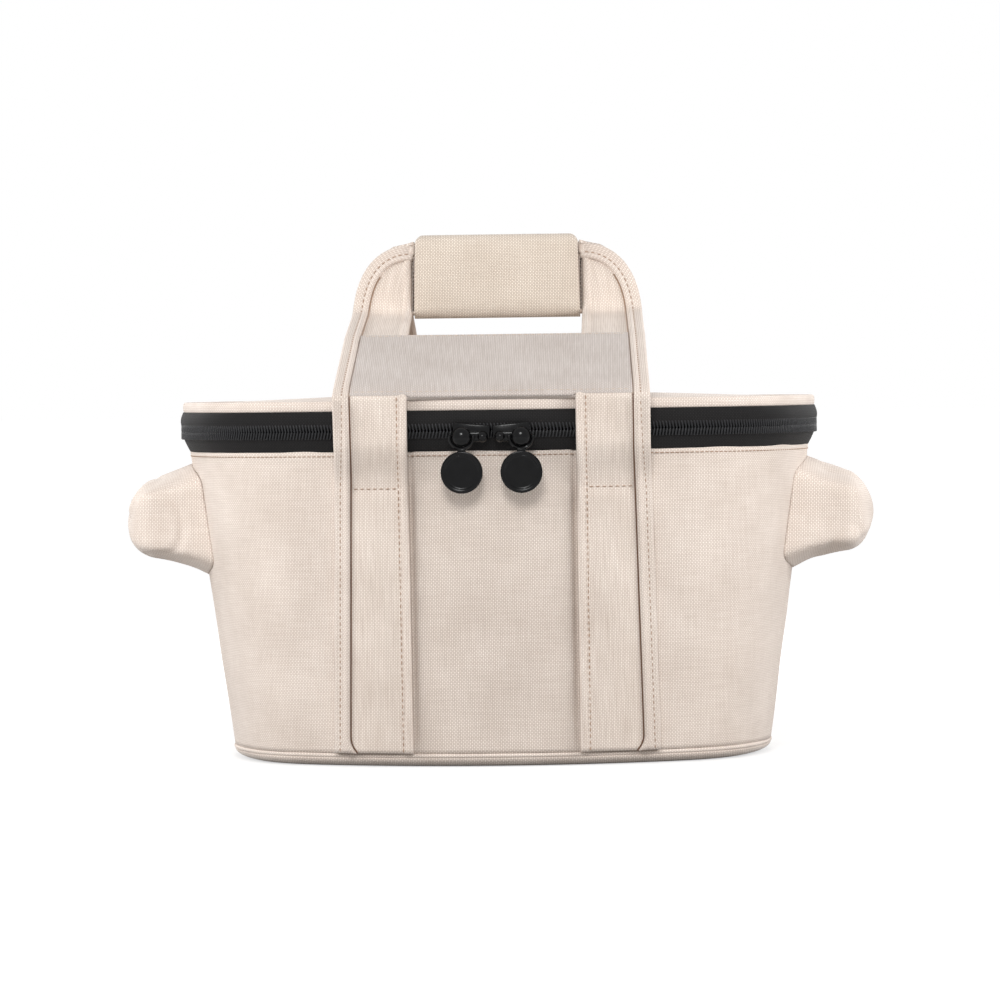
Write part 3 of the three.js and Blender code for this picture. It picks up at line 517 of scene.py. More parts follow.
def wall_turn(along):
    """Turn from the middle of a wall, with its columns closer together beside the straps' inner edges."""
    return np.radians(np.interp(along, (0, 0.3, 0.42, 0.58, 0.7, 1), (-90, -13.5, -8.5, 8.5, 13.5, 90)))


def sink_grooves(wall, spin):
    """Pulls the wall in along the straps' inner hems, less towards the foot."""
    places = vertex_places(wall)
    beside = (STRAP_INNER_X - GROOVE_BESIDE - np.abs(places[:, 0])) / GROOVE_WIDTH
    levels = (wall_foot_z, wall_foot_z + 0.03, tack_z - 0.01, wall_top_z - TOP_SEAM)
    fade = np.interp(places[:, 2], levels, (0.1, 0.65, 1.0, 0.3)) * (np.abs(places[:, 1]) > STRAPS_BEYOND_Y)
    places[:, 1] += spin * GROOVE_DEPTH * np.exp(-beside ** 2) * fade
    move_vertices(wall, places)


for name, facing, spin in (("front_wall", 0.0, 1), ("rear_wall", math.pi, -1)):
    def wall_place(along, up):
        turn = facing + wall_turn(along)
        z = wall_foot_z + up * (wall_top_z - wall_foot_z)
        x, y = outline(turn, wall_inset(z))
        waves = ripple(np.column_stack([x, y, z]), WALL_WAVE_SIZE, 3.0 + facing)
        return *outline(turn, wall_inset(z) - WALL_WAVE * waves), z

    wall = cloth_grid(name, WALL_COLUMNS, WALL_ROWS, wall_place)
    swell(wall, wall_sewn, WALL_PRESSURE, WALL_SWELL)
    sink_grooves(wall, spin)
    delete_faces(wall, in_slot)
    thicken(wall, CANVAS)
    foam_too = ("wall_foam",) if name == "front_wall" else ()
    dress(wall, "carrier_body", "canvas", canvas, f"{name}_canvas", *foam_too)

# Topstitching: a beige thread in a row of stitches under the zip, all round the walls' top; its darker brown
# tone is partly its own and partly painted shade of the stitch holes.
# The same stitch, modelled once, sews the straps and handles further on.
STITCH_LENGTH = 0.0024
STITCH_WIDTH = 0.0007
STITCH_RISE = 0.0006
STITCH_PITCH = 0.0034
TOPSTITCH_DROP = 0.0028
TOPSTITCH_PITCH = 0.0029
FINE_PITCH = 0.0004

bpy.ops.object.select_all(action="DESELECT")
bpy.ops.mesh.primitive_uv_sphere_add(segments=6, ring_count=5, radius=0.5)
bpy.ops.transform.resize(value=(STITCH_WIDTH, STITCH_RISE, STITCH_LENGTH))
bpy.ops.object.transform_apply(location=False, rotation=False, scale=True)


def shape_of(piece):
    """The points and faces of a small shape, which is taken away again."""
    points = vertex_places(piece)
    faces = [tuple(face.vertices) for face in piece.data.polygons]
    bpy.data.objects.remove(piece)
    return points, faces


stitch = shape_of(bpy.context.object)


def copies(name, shape, centres, axes):
    """One mesh of many copies of a small shape, each at its centre and along its own three axes."""
    points, faces = shape
    turned = np.einsum("pk,nkc->npc", points, axes) + centres[:, None, :]
    count = len(points)
    numbered = [tuple(k * count + corner for corner in face) for k in range(len(centres)) for face in faces]
    mesh = bpy.data.meshes.new(name)
    mesh.from_pydata(turned.reshape(-1, 3).tolist(), [], numbered)
    piece = bpy.data.objects.new(name, mesh)
    bpy.context.scene.collection.objects.link(piece)
    make_active(piece)
    bpy.ops.object.shade_smooth()
    return piece


def unit(vectors):
    return vectors / np.maximum(np.linalg.norm(vectors, axis=1, keepdims=True), 1e-12)


def spaced(path, outward, pitch):
    """Even spots along a path of points: their centres, directions along it and outward normals."""
    reach = path_reach(path)
    count = max(1, round(reach[-1] / pitch))
    spots = (np.arange(count) + 0.5) * reach[-1] / count
    ahead, behind = along_path(path, reach, spots + pitch / 4), along_path(path, reach, spots - pitch / 4)
    return along_path(path, reach, spots), unit(ahead - behind), unit(along_path(outward, reach, spots))


# The thread is partly its own beige and partly painted shade: it is darker for the shade in the stitch holes.
thread = woven_material("thread_with_painted_stitch_shade", (212, 192, 173), (172, 148, 129), FINE_PITCH, 0.4, 0.2)


def sew(name, body, path, outward, pitch=STITCH_PITCH, yarn=thread):
    """A row of stitches along a path that lies on the cloth."""
    centres, tangents, normals = spaced(path, outward, pitch)
    across = np.cross(normals, tangents)
    row = copies(name, stitch, centres, np.stack([across, normals, tangents], axis=1))
    return dress(row, body, "canvas", yarn)


topstitch_z = wall_top_z - TOPSTITCH_DROP
turns = np.linspace(-math.pi, math.pi, 400)
topstitch_x, topstitch_y = outline(turns, wall_inset(topstitch_z) - STITCH_RISE / 4)
topstitch_path = np.column_stack([topstitch_x, topstitch_y, np.full_like(turns, topstitch_z)])
topstitch_out = np.column_stack([np.sin(turns), -np.cos(turns), np.zeros_like(turns)])
sew("wall_topstitch", "carrier_body", topstitch_path, topstitch_out, TOPSTITCH_PITCH)

# Linings: smooth light cloth inside the walls and over the padded floor, bound at the rim.
# The wall lining has a slot on each side, where the pot's handles pass through into the pockets.
LINING = 0.0009
WALL_LINING_DEPTH = 0.0081
LINING_THREAD = (216, 208, 196)
LINING_GAP = (176, 166, 152)
LINING_WAVE_SIZE = 0.045
LINING_WAVE = 0.0004
FLOOR_CROWN = 0.0006
RIM_BINDING_RISE = 0.00096
RIM_BINDING_HALF = 0.0041
lining = woven_material("lining_cloth", LINING_THREAD, LINING_GAP, FINE_PITCH, 0.3, 0.3, roughness=0.75)
lining_foot_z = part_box("wall_lining")[0].z
floor_top_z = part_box("base_lining")[1].z


def lining_place(along, up):
    turn = -whole_turn(along)
    z = lining_foot_z + up * (wall_top_z - lining_foot_z)
    inset = wall_inset(z) + WALL_LINING_DEPTH + LINING
    x, y = outline(turn, inset)
    waves = ripple(np.column_stack([x, y, z]), LINING_WAVE_SIZE, 8.0)
    return *outline(turn, inset - LINING_WAVE * waves), z


wall_lining = cloth_grid("wall_lining_cloth", 300, 60, lining_place, weld=True)
delete_faces(wall_lining, in_slot)
thicken(wall_lining, LINING)
dress(wall_lining, "carrier_body", "lining", lining, "wall_lining")


def floor_place(along, up):
    x, y = outline(whole_turn(along), wall_inset(lining_foot_z) + WALL_LINING_DEPTH)
    return x * up, -y * up, floor_top_z + FLOOR_CROWN * (1 - up ** 4)


floor_lining = cloth_grid("floor_lining_cloth", 160, 24, floor_place, weld=True, flat_cut=True)
thicken(floor_lining, LINING)
dress(floor_lining, "carrier_body", "lining", lining, "base_lining", "base_foam")

rim_low, rim_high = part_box("rim_binding")
rim_inset = RIM_HALF_DEPTH - rim_high.y + RIM_BINDING_HALF
rim_place = ring_place(rim_inset, RIM_BINDING_HALF, rim_low.z, RIM_BINDING_RISE)
rim = cloth_grid("rim_binding_tape", 300, 12, rim_place, weld=True)
dress(rim, "carrier_body", "lining", lining, "rim_binding")

# Pockets: a soft domed shell of canvas on each side over the slot, with a lining of its own.
# The canvas is cut fuller than the space that it covers, so it stands out with creases and dents.
POCKET_HALF_WIDTH = 0.0485
POCKET_HALF_HEIGHT = 0.032
POCKET_END_HALF_WIDTH = 0.042
POCKET_END_HALF_HEIGHT = 0.018
POCKET_ROUND_START = 0.64
POCKET_ARCH = 0.24
POCKET_SQUARENESS = 16.0
POCKET_TIP_SQUARENESS = 8.0
POCKET_FOOT_PULL = 0.08
POCKET_UNDER_PULL = 0.09
POCKET_UNDER_SHARE = 0.8
POCKET_DENT = 0.0013
POCKET_DENT_SIZE = 0.024
POCKET_CREASE = 0.0011
POCKET_CREASE_SIZE = 0.036
CREASE_SHARPNESS = 5
POCKET_SEAM = 0.005
DENTS_FROM = 0.003
DENTS_EASE = 0.012
POCKET_GAP = 0.0002
POCKET_LINING_GAP = 0.0012
POCKET_PRESSURE = 0.8
POCKET_SWELL = 0.0010
pocket_reach_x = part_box("right_pocket_canvas")[1].x


def side_wall_x(y, z, gap=0.0):
    """How far out the face of a wall is at the carrier's side."""
    return side_centre_x + np.sqrt((side_radius - wall_inset(z) + gap) ** 2 - y * y)


def pocket_place(side, shrink):
    """Places points round the pocket, from its seam on the wall out to the tip."""
    def place(along, up):
        around = side * along * 2 * math.pi
        cap_share = 1 - POCKET_ROUND_START
        cap = np.clip((up - POCKET_ROUND_START) / cap_share, 0, 1) * math.pi / 2
        out = np.where(up < POCKET_ROUND_START, up, POCKET_ROUND_START + cap_share * np.sin(cap))
        width = POCKET_HALF_WIDTH + (POCKET_END_HALF_WIDTH - POCKET_HALF_WIDTH) * out
        height = POCKET_HALF_HEIGHT + (POCKET_END_HALF_HEIGHT - POCKET_HALF_HEIGHT) * out
        square = POCKET_SQUARENESS + (POCKET_TIP_SQUARENESS - POCKET_SQUARENESS) * out
        cos, sin = np.cos(around), np.sin(around)
        reach = (np.abs(cos) ** square + np.abs(sin) ** square) ** (-1 / square)
        across, rise = reach * cos, reach * sin
        y = np.maximum(width * np.cos(cap) - shrink, 0) * across
        under = np.sin(np.minimum(out / POCKET_UNDER_SHARE, 1) * math.pi)
        pull = POCKET_FOOT_PULL + POCKET_UNDER_PULL * under
        pulled = np.where(rise < 0, 1 - pull, 1)
        arch = (1 - POCKET_ARCH * across ** 2) * rise * pulled
        z = POCKET_CENTRE_Z + np.maximum(height * np.cos(cap) - shrink, 0) * arch
        wall_x = side_wall_x(y, z, POCKET_GAP)
        x = wall_x + (pocket_reach_x - shrink - wall_x) * out
        return side * x, y, z
    return place


def pocket_sewn(points):
    return np.abs(points[:, 0]) < side_wall_x(points[:, 1], points[:, 2]) + POCKET_SEAM


def dent(pocket, shift):
    """Presses soft dents and a few sharper creases into a pocket, away from its seam."""
    places = vertex_places(pocket)
    normals = np.zeros(places.size)
    pocket.data.vertices.foreach_get("normal", normals)
    from_wall = np.abs(places[:, 0]) - side_wall_x(places[:, 1], places[:, 2])
    fade = np.clip((from_wall - DENTS_FROM) / DENTS_EASE, 0, 1)
    creases = ripple(places, POCKET_CREASE_SIZE, shift + 4.0)
    crease = np.clip(1 - CREASE_SHARPNESS * np.abs(creases), 0, 1)
    depth = POCKET_DENT * ripple(places, POCKET_DENT_SIZE, shift) - POCKET_CREASE * crease
    move_vertices(pocket, places + normals.reshape(-1, 3) * (depth * fade)[:, None])


for label, side in (("left", -1), ("right", 1)):
    pocket = cloth_grid(f"{label}_pocket", 132, 48, pocket_place(side, 0.0), weld=True)
    swell(pocket, pocket_sewn, POCKET_PRESSURE, POCKET_SWELL)
    dent(pocket, 6.0 + side)
    lay_threads_by_face(pocket)
    thicken(pocket, CANVAS)
    dress(pocket, "carrier_body", "canvas", canvas, f"{label}_pocket_canvas")
    inner_place = pocket_place(side, CANVAS + POCKET_LINING_GAP)
    inner = cloth_grid(f"{label}_pocket_inside", 60, 30, inner_place, weld=True)
    thicken(inner, LINING)
    dress(inner, "carrier_body", "lining", lining, f"{label}_pocket_lining")

# Zip on the carrier: a black woven tape that slants out from the wall's top, with a row of nylon coil.
# It runs round to the rear, where a folded canvas tab covers each end beside the hinge strip.
ZIP_TAPE = 0.001
ZIP_INSET = 0.0012
TAPE_BULGE = 0.0014
LOWER_TAPE_BULGE = 0.00056
TAPE_TUCK = 0.0008
TAPE_CURVE = 1.4
TAPE_LEVELS = 11
TAPE_PITCH = 0.0009
TAPE_UNDER_WELT = 0.0006
COIL_HEIGHT = 0.0038
COIL_OVERLAP = 0.0006
COIL_DEPTH = 0.0013
COIL_PITCH = 0.0018
COIL_OUT = 0.4
COIL_SLANT = 0.22
TOOTH_SHARE = 0.62
TOOTH_OVERLAP = 0.0005
TOOTH_BEVEL = 0.00042
ZIP_END_HALF_WIDTH = 0.084
ZIP_STOP_LENGTH = 0.008
TAB_RISE = 0.0008
TAB_OVERLAP = 0.001
TAB_BEVEL = 0.0005
lower_tape_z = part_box("zip_tape_lower")[0].z
slit_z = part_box("zip_tape_lower")[1].z
upper_tape_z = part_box("zip_tape_upper")[0].z
upper_tape_top_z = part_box("zip_tape_upper")[1].z
chain_z = (slit_z + upper_tape_z) / 2
zip_end_turn = math.pi - math.asin(ZIP_END_HALF_WIDTH / front_radius)
zip_stop_turn = zip_end_turn + ZIP_STOP_LENGTH / front_radius
tape_look = {"bump": 0.5, "roughness": 0.8, "sheen": 0.0}
tape = woven_material("zip_tape_cloth", (36, 35, 36), (6, 6, 6), TAPE_PITCH, 0.6, 0.3, **tape_look)
coil, coil_surface, _ = grained_material("nylon_coil", (11, 11, 12), (34, 34, 37), fineness=900.0)
set_sockets(coil_surface, {"Roughness": 0.45, "Specular IOR Level": 0.3})


def bevelled_block(low, high, bevel, segments=3):
    """A block between two corners, with its edges rounded."""
    low, high = Vector(low), Vector(high)
    bpy.ops.object.select_all(action="DESELECT")
    bpy.ops.mesh.primitive_cube_add(size=1, location=(low + high) / 2, scale=high - low)
    bpy.ops.object.transform_apply(location=True, rotation=True, scale=True)
    bpy.ops.object.mode_set(mode="EDIT")
    bpy.ops.mesh.select_all(action="SELECT")
    bpy.ops.mesh.bevel(offset=bevel, segments=segments, affect="EDGES")
    bpy.ops.object.mode_set(mode="OBJECT")
    return bpy.context.object


tooth_corner = Vector((COIL_PITCH * TOOTH_SHARE, COIL_DEPTH, COIL_HEIGHT + TOOTH_OVERLAP)) / 2
tooth = shape_of(bevelled_block(-tooth_corner, tooth_corner, TOOTH_BEVEL, segments=2))


def coil_row(name, body, z, lean, node):
    """A row of coil along the zip: one leaning tooth for each turn of the coil."""
    along = np.linspace(-zip_end_turn, zip_end_turn, 900)
    x, y = outline(along, ZIP_INSET - COIL_DEPTH * COIL_OUT)
    path = np.column_stack([x, y, np.full_like(x, z)])
    outward = np.column_stack([np.sin(along), -np.cos(along), np.zeros_like(x)])
    centres, tangents, normals = spaced(path, outward, COIL_PITCH)
    upright = unit(np.array([0, 0, 1.0]) + lean * tangents)
    row = copies(name, tooth, centres, np.stack([tangents, -normals, upright], axis=1))
    return dress(row, body, "zip_coil", coil, node)


def tape_place(levels, insets, from_turn, to_turn):
    """Places points on a strip along the zip whose section runs through the given heights and insets."""
    shares = np.linspace(0, 1, len(levels))

    def place(along, up):
        turn = from_turn + along * (to_turn - from_turn)
        x, y = outline(turn, np.interp(up, shares, insets))
        return x, y, np.interp(up, shares, levels)
    return place


up_tape = np.linspace(0, 1, TAPE_LEVELS)
lower_levels = np.linspace(lower_tape_z - TAPE_TUCK, slit_z, TAPE_LEVELS)
slant = (WALL_TOP_INSET - ZIP_INSET) * (1 - up_tape) ** TAPE_CURVE
lower_insets = ZIP_INSET + slant - LOWER_TAPE_BULGE * up_tape
lower_place = tape_place(lower_levels, lower_insets, -zip_end_turn, zip_end_turn)
lower_tape = cloth_grid("lower_zip_tape", 320, 12, lower_place)
thicken(lower_tape, ZIP_TAPE)
dress(lower_tape, "carrier_body", "zip_tape", tape, "zip_tape_lower")
coil_row("lower_coil", "carrier_body", slit_z - COIL_HEIGHT / 2 + COIL_OVERLAP, COIL_SLANT, "zip_coil_lower")

for label, side in (("left", -1), ("right", 1)):
    ends = sorted((side * (zip_end_turn - TAB_OVERLAP / front_radius), side * zip_stop_turn))
    tab_place = tape_place(lower_levels, lower_insets - TAB_RISE, *ends)
    stop = cloth_grid(f"{label}_zip_end_tab", 8, 12, tab_place)
    thicken(stop, CANVAS)
    apply_modifier(stop, "BEVEL", width=TAB_BEVEL, segments=2, limit_method="ANGLE", angle_limit=1.0)
    dress(stop, "carrier_body", "canvas", canvas, f"{label}_zip_stop")

# Hinge strip: a band of canvas between the two zip ends at the rear, sewn to the wall and to the lid.
# It is the lid's hinge, so it bends from the carrier to the lid over its height.
HINGE_STRIP = 0.0012
HINGE_LEVELS = 15
HINGE_FOOT = 0.009
HINGE_BULGE = 0.0006
HINGE_END_GAP = 0.0003
hinge_low, hinge_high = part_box("lid_hinge_strip")
hinge_levels = np.linspace(hinge_low.z - TAPE_TUCK, hinge_high.z + TAPE_UNDER_WELT, HINGE_LEVELS)
near_foot = np.clip(1 - (hinge_levels - hinge_levels[0]) / HINGE_FOOT, 0, 1)
hinge_slant = (WALL_TOP_INSET - ZIP_INSET) * near_foot ** TAPE_CURVE
hinge_insets = ZIP_INSET + hinge_slant - HINGE_BULGE * np.sin(np.linspace(0, math.pi, HINGE_LEVELS))
hinge_turn = zip_end_turn + HINGE_END_GAP / front_radius
hinge_place = tape_place(hinge_levels, hinge_insets, hinge_turn, 2 * math.pi - hinge_turn)
hinge = cloth_grid("hinge_strip", 80, 20, hinge_place)
thicken(hinge, HINGE_STRIP)
hinge.data.materials.append(canvas)
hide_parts("lid_hinge_strip")
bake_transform(hinge)

# Lid: a crowned oval of canvas over foam, with a padded welt round its edge and the zip's other half.
# Its lining turns up to the welt all round, so that nothing of the padding shows when it is open.
# At the rear the handle's yoke keeps the welt pressed flat.
LID_WELT_WIDTH = 0.003
LID_WELT_PUFF = 0.0014
WELT_EASE = 0.006
LID_CROWN = 0.0035
LID_PRESSURE = 1.0
LID_SWELL = 0.0012
LID_SEAM_FROM = 0.97
LID_SEAM_DIP = 0.0012
LID_WAVE_SIZE = 0.05
LID_WAVE = 0.0005
LID_SEAM_GAP = 0.0003
LID_HELD_FROM = 0.93
LINING_FLAT_SHARE = 0.94
LINING_SET_IN = 0.006
LINING_OVERLAP = 0.001
WELT_POWER = 0.7
welt_low, welt_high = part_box("lid_welt")
lid_inset = ZIP_INSET + LID_WELT_WIDTH + LID_SEAM_GAP
welt_half_height = (welt_high.z - welt_low.z + LID_WELT_PUFF) / 2
welt_z = welt_low.z + welt_half_height
lid_lining_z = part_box("lid_lining")[0].z
welt_half_width = LID_WELT_WIDTH / 2
full_welt = ring_place(ZIP_INSET + welt_half_width, welt_half_width, welt_z, welt_half_height, WELT_POWER)


def welt_place(along, up):
    x, y, z = full_welt(along, up)
    under_yoke = np.clip((ZIP_END_HALF_WIDTH - np.abs(x)) / WELT_EASE, 0, 1) * (y > 0)
    return x, y, z - LID_WELT_PUFF * under_yoke * np.clip(np.sin(up * 2 * math.pi), 0, 1)


welt = cloth_grid("lid_edge_welt", 360, 16, welt_place, weld=True)
dress(welt, "lid", "canvas", canvas, "lid_welt")


def lid_place(along, up):
    x, y = outline(whole_turn(along), lid_inset)
    dip = LID_SEAM_DIP * np.clip((up - LID_SEAM_FROM) / (1 - LID_SEAM_FROM), 0, 1) ** 2
    z = welt_high.z + LID_CROWN * (1 - up ** 2) - dip
    waves = ripple(np.column_stack([x * up, y * up, z]), LID_WAVE_SIZE, 5.0)
    return x * up, -y * up, z + LID_WAVE * waves * (1 - up ** 6)


def lid_sewn(points):
    return np.hypot(points[:, 0] / RIM_HALF_WIDTH, points[:, 1] / RIM_HALF_DEPTH) > LID_HELD_FROM


lid_top = cloth_grid("lid_top", 200, 48, lid_place, weld=True, flat_cut=True)
swell(lid_top, lid_sewn, LID_PRESSURE, LID_SWELL)
thicken(lid_top, CANVAS)
dress(lid_top, "lid", "canvas", canvas, "lid_canvas", "lid_foam")


def lid_lining_place(along, up):
    flat = np.clip(up / LINING_FLAT_SHARE, 0, 1)
    rim_share = np.clip((up - LINING_FLAT_SHARE) / (1 - LINING_FLAT_SHARE), 0, 1)
    inset = lid_inset + LINING_SET_IN * (1 - rim_share) - LINING_OVERLAP * rim_share
    x, y = outline(whole_turn(along), inset)
    turn_up = (welt_low.z + LINING_OVERLAP - lid_lining_z) * rim_share ** 2
    return x * flat, y * flat, lid_lining_z + LID_CROWN * (1 - flat ** 2) + turn_up


lid_lining = cloth_grid("lid_lining_cloth", 180, 40, lid_lining_place, weld=True, flat_cut=True)
thicken(lid_lining, LINING)
dress(lid_lining, "lid", "lining", lining, "lid_lining")

upper_levels = np.linspace(upper_tape_z, upper_tape_top_z + TAPE_UNDER_WELT, TAPE_LEVELS)
upper_insets = ZIP_INSET - TAPE_BULGE * np.sin(up_tape * math.pi)
upper_place = tape_place(upper_levels, upper_insets, -zip_end_turn, zip_end_turn)
upper_tape = cloth_grid("upper_zip_tape", 320, 10, upper_place)
thicken(upper_tape, ZIP_TAPE)
dress(upper_tape, "lid", "zip_tape", tape, "zip_tape_upper")
coil_row("upper_coil", "lid", upper_tape_z + COIL_HEIGHT / 2 - COIL_OVERLAP, -COIL_SLANT, "zip_coil_upper")

# Sliders: two die-cast zip sliders in glossy black enamel that meet at the middle of the front.
# Each has a plate in front of the chain and one behind it, a small dome, and a ball that holds its pull.
SLIDER_LENGTH = 0.0196
SLIDER_HEIGHT = 0.013
SLIDER_PLATE = 0.0022
SLIDER_FRONT = -0.001
SLIDER_REAR = 0.0028
SLIDERS_APART = 0.0008
SLIDER_TAPER = 0.42
SLIDER_REAR_FOOT = -0.0044
SLIDER_TOP = 0.0044
INNER_DOME_RADIUS = 0.0030
INNER_DOME_DEPTH = 0.0034
INNER_DOME_X = 0.0058
POST_HALF_WIDTH = 0.002
POST_HALF_HEIGHT = 0.0004
POST_BEVEL = 0.0001
BRIDGE_HALF_WIDTH = 0.0078
BRIDGE_RISE = 0.0018
BRIDGE_BELOW = 0.0026
BRIDGE_ABOVE = 0.0030
BRIDGE_BEVEL = 0.00135
SHELL_BEVEL = 0.0010
REAR_BEVEL = 0.0008
CAST_OVERLAP = 0.001
BALL_RADIUS = 0.0052
BALL_DEPTH = 0.0040
PIN_OFFSET = 0.0052
PIN_DROP = 0.0033
PIN_Y = -0.005
ENAMEL_SMOOTH = 0.08
ENAMEL_WEAR = 0.22
slider_turn = (SLIDER_LENGTH + SLIDERS_APART) / 2 / front_radius

enamel, enamel_surface, enamel_wear = grained_material("black_enamel", (3, 3, 4), (11, 11, 12), 260.0, 4.0)
worn = math_node(enamel.node_tree, "MULTIPLY", enamel_wear, ENAMEL_WEAR)
set_sockets(enamel_surface, {"Roughness": math_node(enamel.node_tree, "ADD", worn, ENAMEL_SMOOTH)})
set_sockets(enamel_surface, {"Specular IOR Level": 0.13, "Coat Weight": 0.1, "Coat Roughness": 0.06})


def rounded_ball(radii, place):
    bpy.ops.object.select_all(action="DESELECT")
    bpy.ops.mesh.primitive_uv_sphere_add(segments=32, ring_count=18, radius=1, location=place, scale=radii)
    bpy.ops.object.transform_apply(location=True, rotation=True, scale=True)
    return bpy.context.object


def joined(name, parts):
    make_active(parts[0])
    for part in parts:
        part.select_set(True)
    bpy.ops.object.join()
    whole = bpy.context.object
    whole.name = name
    whole.data.name = name
    return whole


def cast(name, parts):
    """A casting of several parts, smooth apart from its sharper edges."""
    whole = joined(name, parts)
    bpy.ops.object.shade_smooth_by_angle(angle=math.radians(40))
    return whole


def on_zip(side):
    """From a slider's own frame, X along the zip and Y inward, to its place at the front of the chain."""
    arc_centre = Matrix.Translation((0, front_centre_y, chain_z))
    turned = Matrix.Rotation(side * slider_turn, 4, "Z")
    return arc_centre @ turned @ Matrix.Translation((0, -front_radius, 0))


for label, side in (("left", -1), ("right", 1)):
    half_length, half_height = SLIDER_LENGTH / 2, SLIDER_HEIGHT / 2
    plate_front = SLIDER_FRONT - SLIDER_PLATE
    shell_low = (-half_length, plate_front, -half_height)
    shell = bevelled_block(shell_low, (half_length, SLIDER_FRONT, SLIDER_TOP), SHELL_BEVEL)
    shell_places = vertex_places(shell)
    shell_places[:, 2] *= 1 - SLIDER_TAPER * np.clip(-side * shell_places[:, 0] / half_length, 0, 1)
    move_vertices(shell, shell_places)
    rear_low = (-half_length, SLIDER_REAR, SLIDER_REAR_FOOT)
    rear = bevelled_block(rear_low, (half_length, SLIDER_REAR + SLIDER_PLATE, half_height), REAR_BEVEL)
    post_low = (-POST_HALF_WIDTH, SLIDER_FRONT - CAST_OVERLAP, -POST_HALF_HEIGHT)
    post_high = (POST_HALF_WIDTH, SLIDER_REAR + CAST_OVERLAP, POST_HALF_HEIGHT)
    post = bevelled_block(post_low, post_high, POST_BEVEL)
    dome_place = (-side * INNER_DOME_X, plate_front, -PIN_DROP)
    dome = rounded_ball((INNER_DOME_RADIUS, INNER_DOME_DEPTH, INNER_DOME_RADIUS), dome_place)
    ball = rounded_ball((BALL_RADIUS, BALL_DEPTH, BALL_RADIUS), (side * PIN_OFFSET, PIN_Y, -PIN_DROP))
    bridge_low = (-BRIDGE_HALF_WIDTH, plate_front - BRIDGE_RISE, -PIN_DROP - BRIDGE_BELOW)
    bridge_high = (BRIDGE_HALF_WIDTH, plate_front + CAST_OVERLAP, -PIN_DROP + BRIDGE_ABOVE)
    bridge = bevelled_block(bridge_low, bridge_high, BRIDGE_BEVEL)
    slider = cast(f"{label}_zip_slider", [shell, rear, post, dome, ball, bridge])
    slider.data.transform(on_zip(side))
    dress(slider, f"{label}_slider", "enamel", enamel, f"{label}_slider")

# Pulls: a round black disc on each slider with a raised rim and a plain dished face.
# A stirrup at its top cups the slider's ball from below and turns on the pin through it.
PULL_RADIUS = 0.011
PULL_THICKNESS = 0.0028
PULL_RIM = 0.0018
PULL_DISH = 0.0007
DISH_SLOPE = 0.0008
DISH_RING = 0.004
DISH_RISE = 0.00028
PULL_BEVEL = 0.0007
PULL_DROP = 0.0186
STIRRUP_RADIUS = 0.0062
STIRRUP_TUBE = 0.0009
NECK_HALF_WIDTH = 0.0022
NECK_HALF_DEPTH = 0.0009
NECK_BEVEL = 0.0005
TIP_RADIUS = 0.00117


def tube(name, path, radius):
    """A thin round tube along a path of points."""
    reach = path_reach(path)
    tangents = unit(np.gradient(path, reach, axis=0))
    first = unit(np.cross(tangents, np.array([0.31, 0.87, 0.33]) + 0 * tangents))
    second = np.cross(tangents, first)

    def place(along, up):
        around = along[:, None] * 2 * math.pi
        middle, one, other = (along_path(values, reach, up * reach[-1]) for values in (path, first, second))
        return (middle + radius * (one * np.cos(around) + other * np.sin(around))).T

    return cloth_grid(name, 8, 2 * len(path), place, weld=True)


for label, side in (("left", -1), ("right", 1)):
    bpy.ops.object.select_all(action="DESELECT")
    bpy.ops.mesh.primitive_cylinder_add(vertices=72, radius=PULL_RADIUS, depth=PULL_THICKNESS,
                                        location=(0, 0, -PULL_DROP), rotation=(math.pi / 2, 0, 0))
    bpy.ops.object.transform_apply(location=True, rotation=True, scale=True)
    disc = bpy.context.object
    bpy.ops.object.mode_set(mode="EDIT")
    bpy.ops.mesh.select_mode(type="FACE")
    bpy.ops.mesh.select_all(action="DESELECT")
    bpy.ops.object.mode_set(mode="OBJECT")
    for face in disc.data.polygons:
        face.select = face.normal.y < -0.9
    bpy.ops.object.mode_set(mode="EDIT")
    bpy.ops.mesh.inset(thickness=PULL_RIM)
    bpy.ops.mesh.inset(thickness=DISH_SLOPE)
    bpy.ops.transform.translate(value=(0, PULL_DISH, 0))
    bpy.ops.mesh.inset(thickness=DISH_RING)
    bpy.ops.transform.translate(value=(0, -DISH_RISE, 0))
    bpy.ops.object.mode_set(mode="OBJECT")
    edge_angle = math.radians(32)
    apply_modifier(disc, "BEVEL", width=PULL_BEVEL, segments=3, limit_method="ANGLE", angle_limit=edge_angle)
    swing = np.linspace(0, math.pi, 25)
    hoop = np.column_stack([STIRRUP_RADIUS * np.cos(swing), 0 * swing, -STIRRUP_RADIUS * np.sin(swing)])
    stirrup = tube(f"{label}_stirrup", hoop, STIRRUP_TUBE)
    tips = [rounded_ball((TIP_RADIUS,) * 3, (end * STIRRUP_RADIUS, 0, 0)) for end in (-1, 1)]
    neck_low = (-NECK_HALF_WIDTH, -NECK_HALF_DEPTH, PULL_RADIUS - PULL_DROP - CAST_OVERLAP)
    neck = bevelled_block(neck_low, (NECK_HALF_WIDTH, NECK_HALF_DEPTH, -STIRRUP_RADIUS), NECK_BEVEL)
    pull = cast(f"{label}_zip_pull", [disc, stirrup, neck, *tips])
    pull.data.transform(on_zip(side) @ Matrix.Translation((side * PIN_OFFSET, PIN_Y, -PIN_DROP)))
    dress(pull, f"{label}_pull", "enamel", enamel, f"{label}_pull")

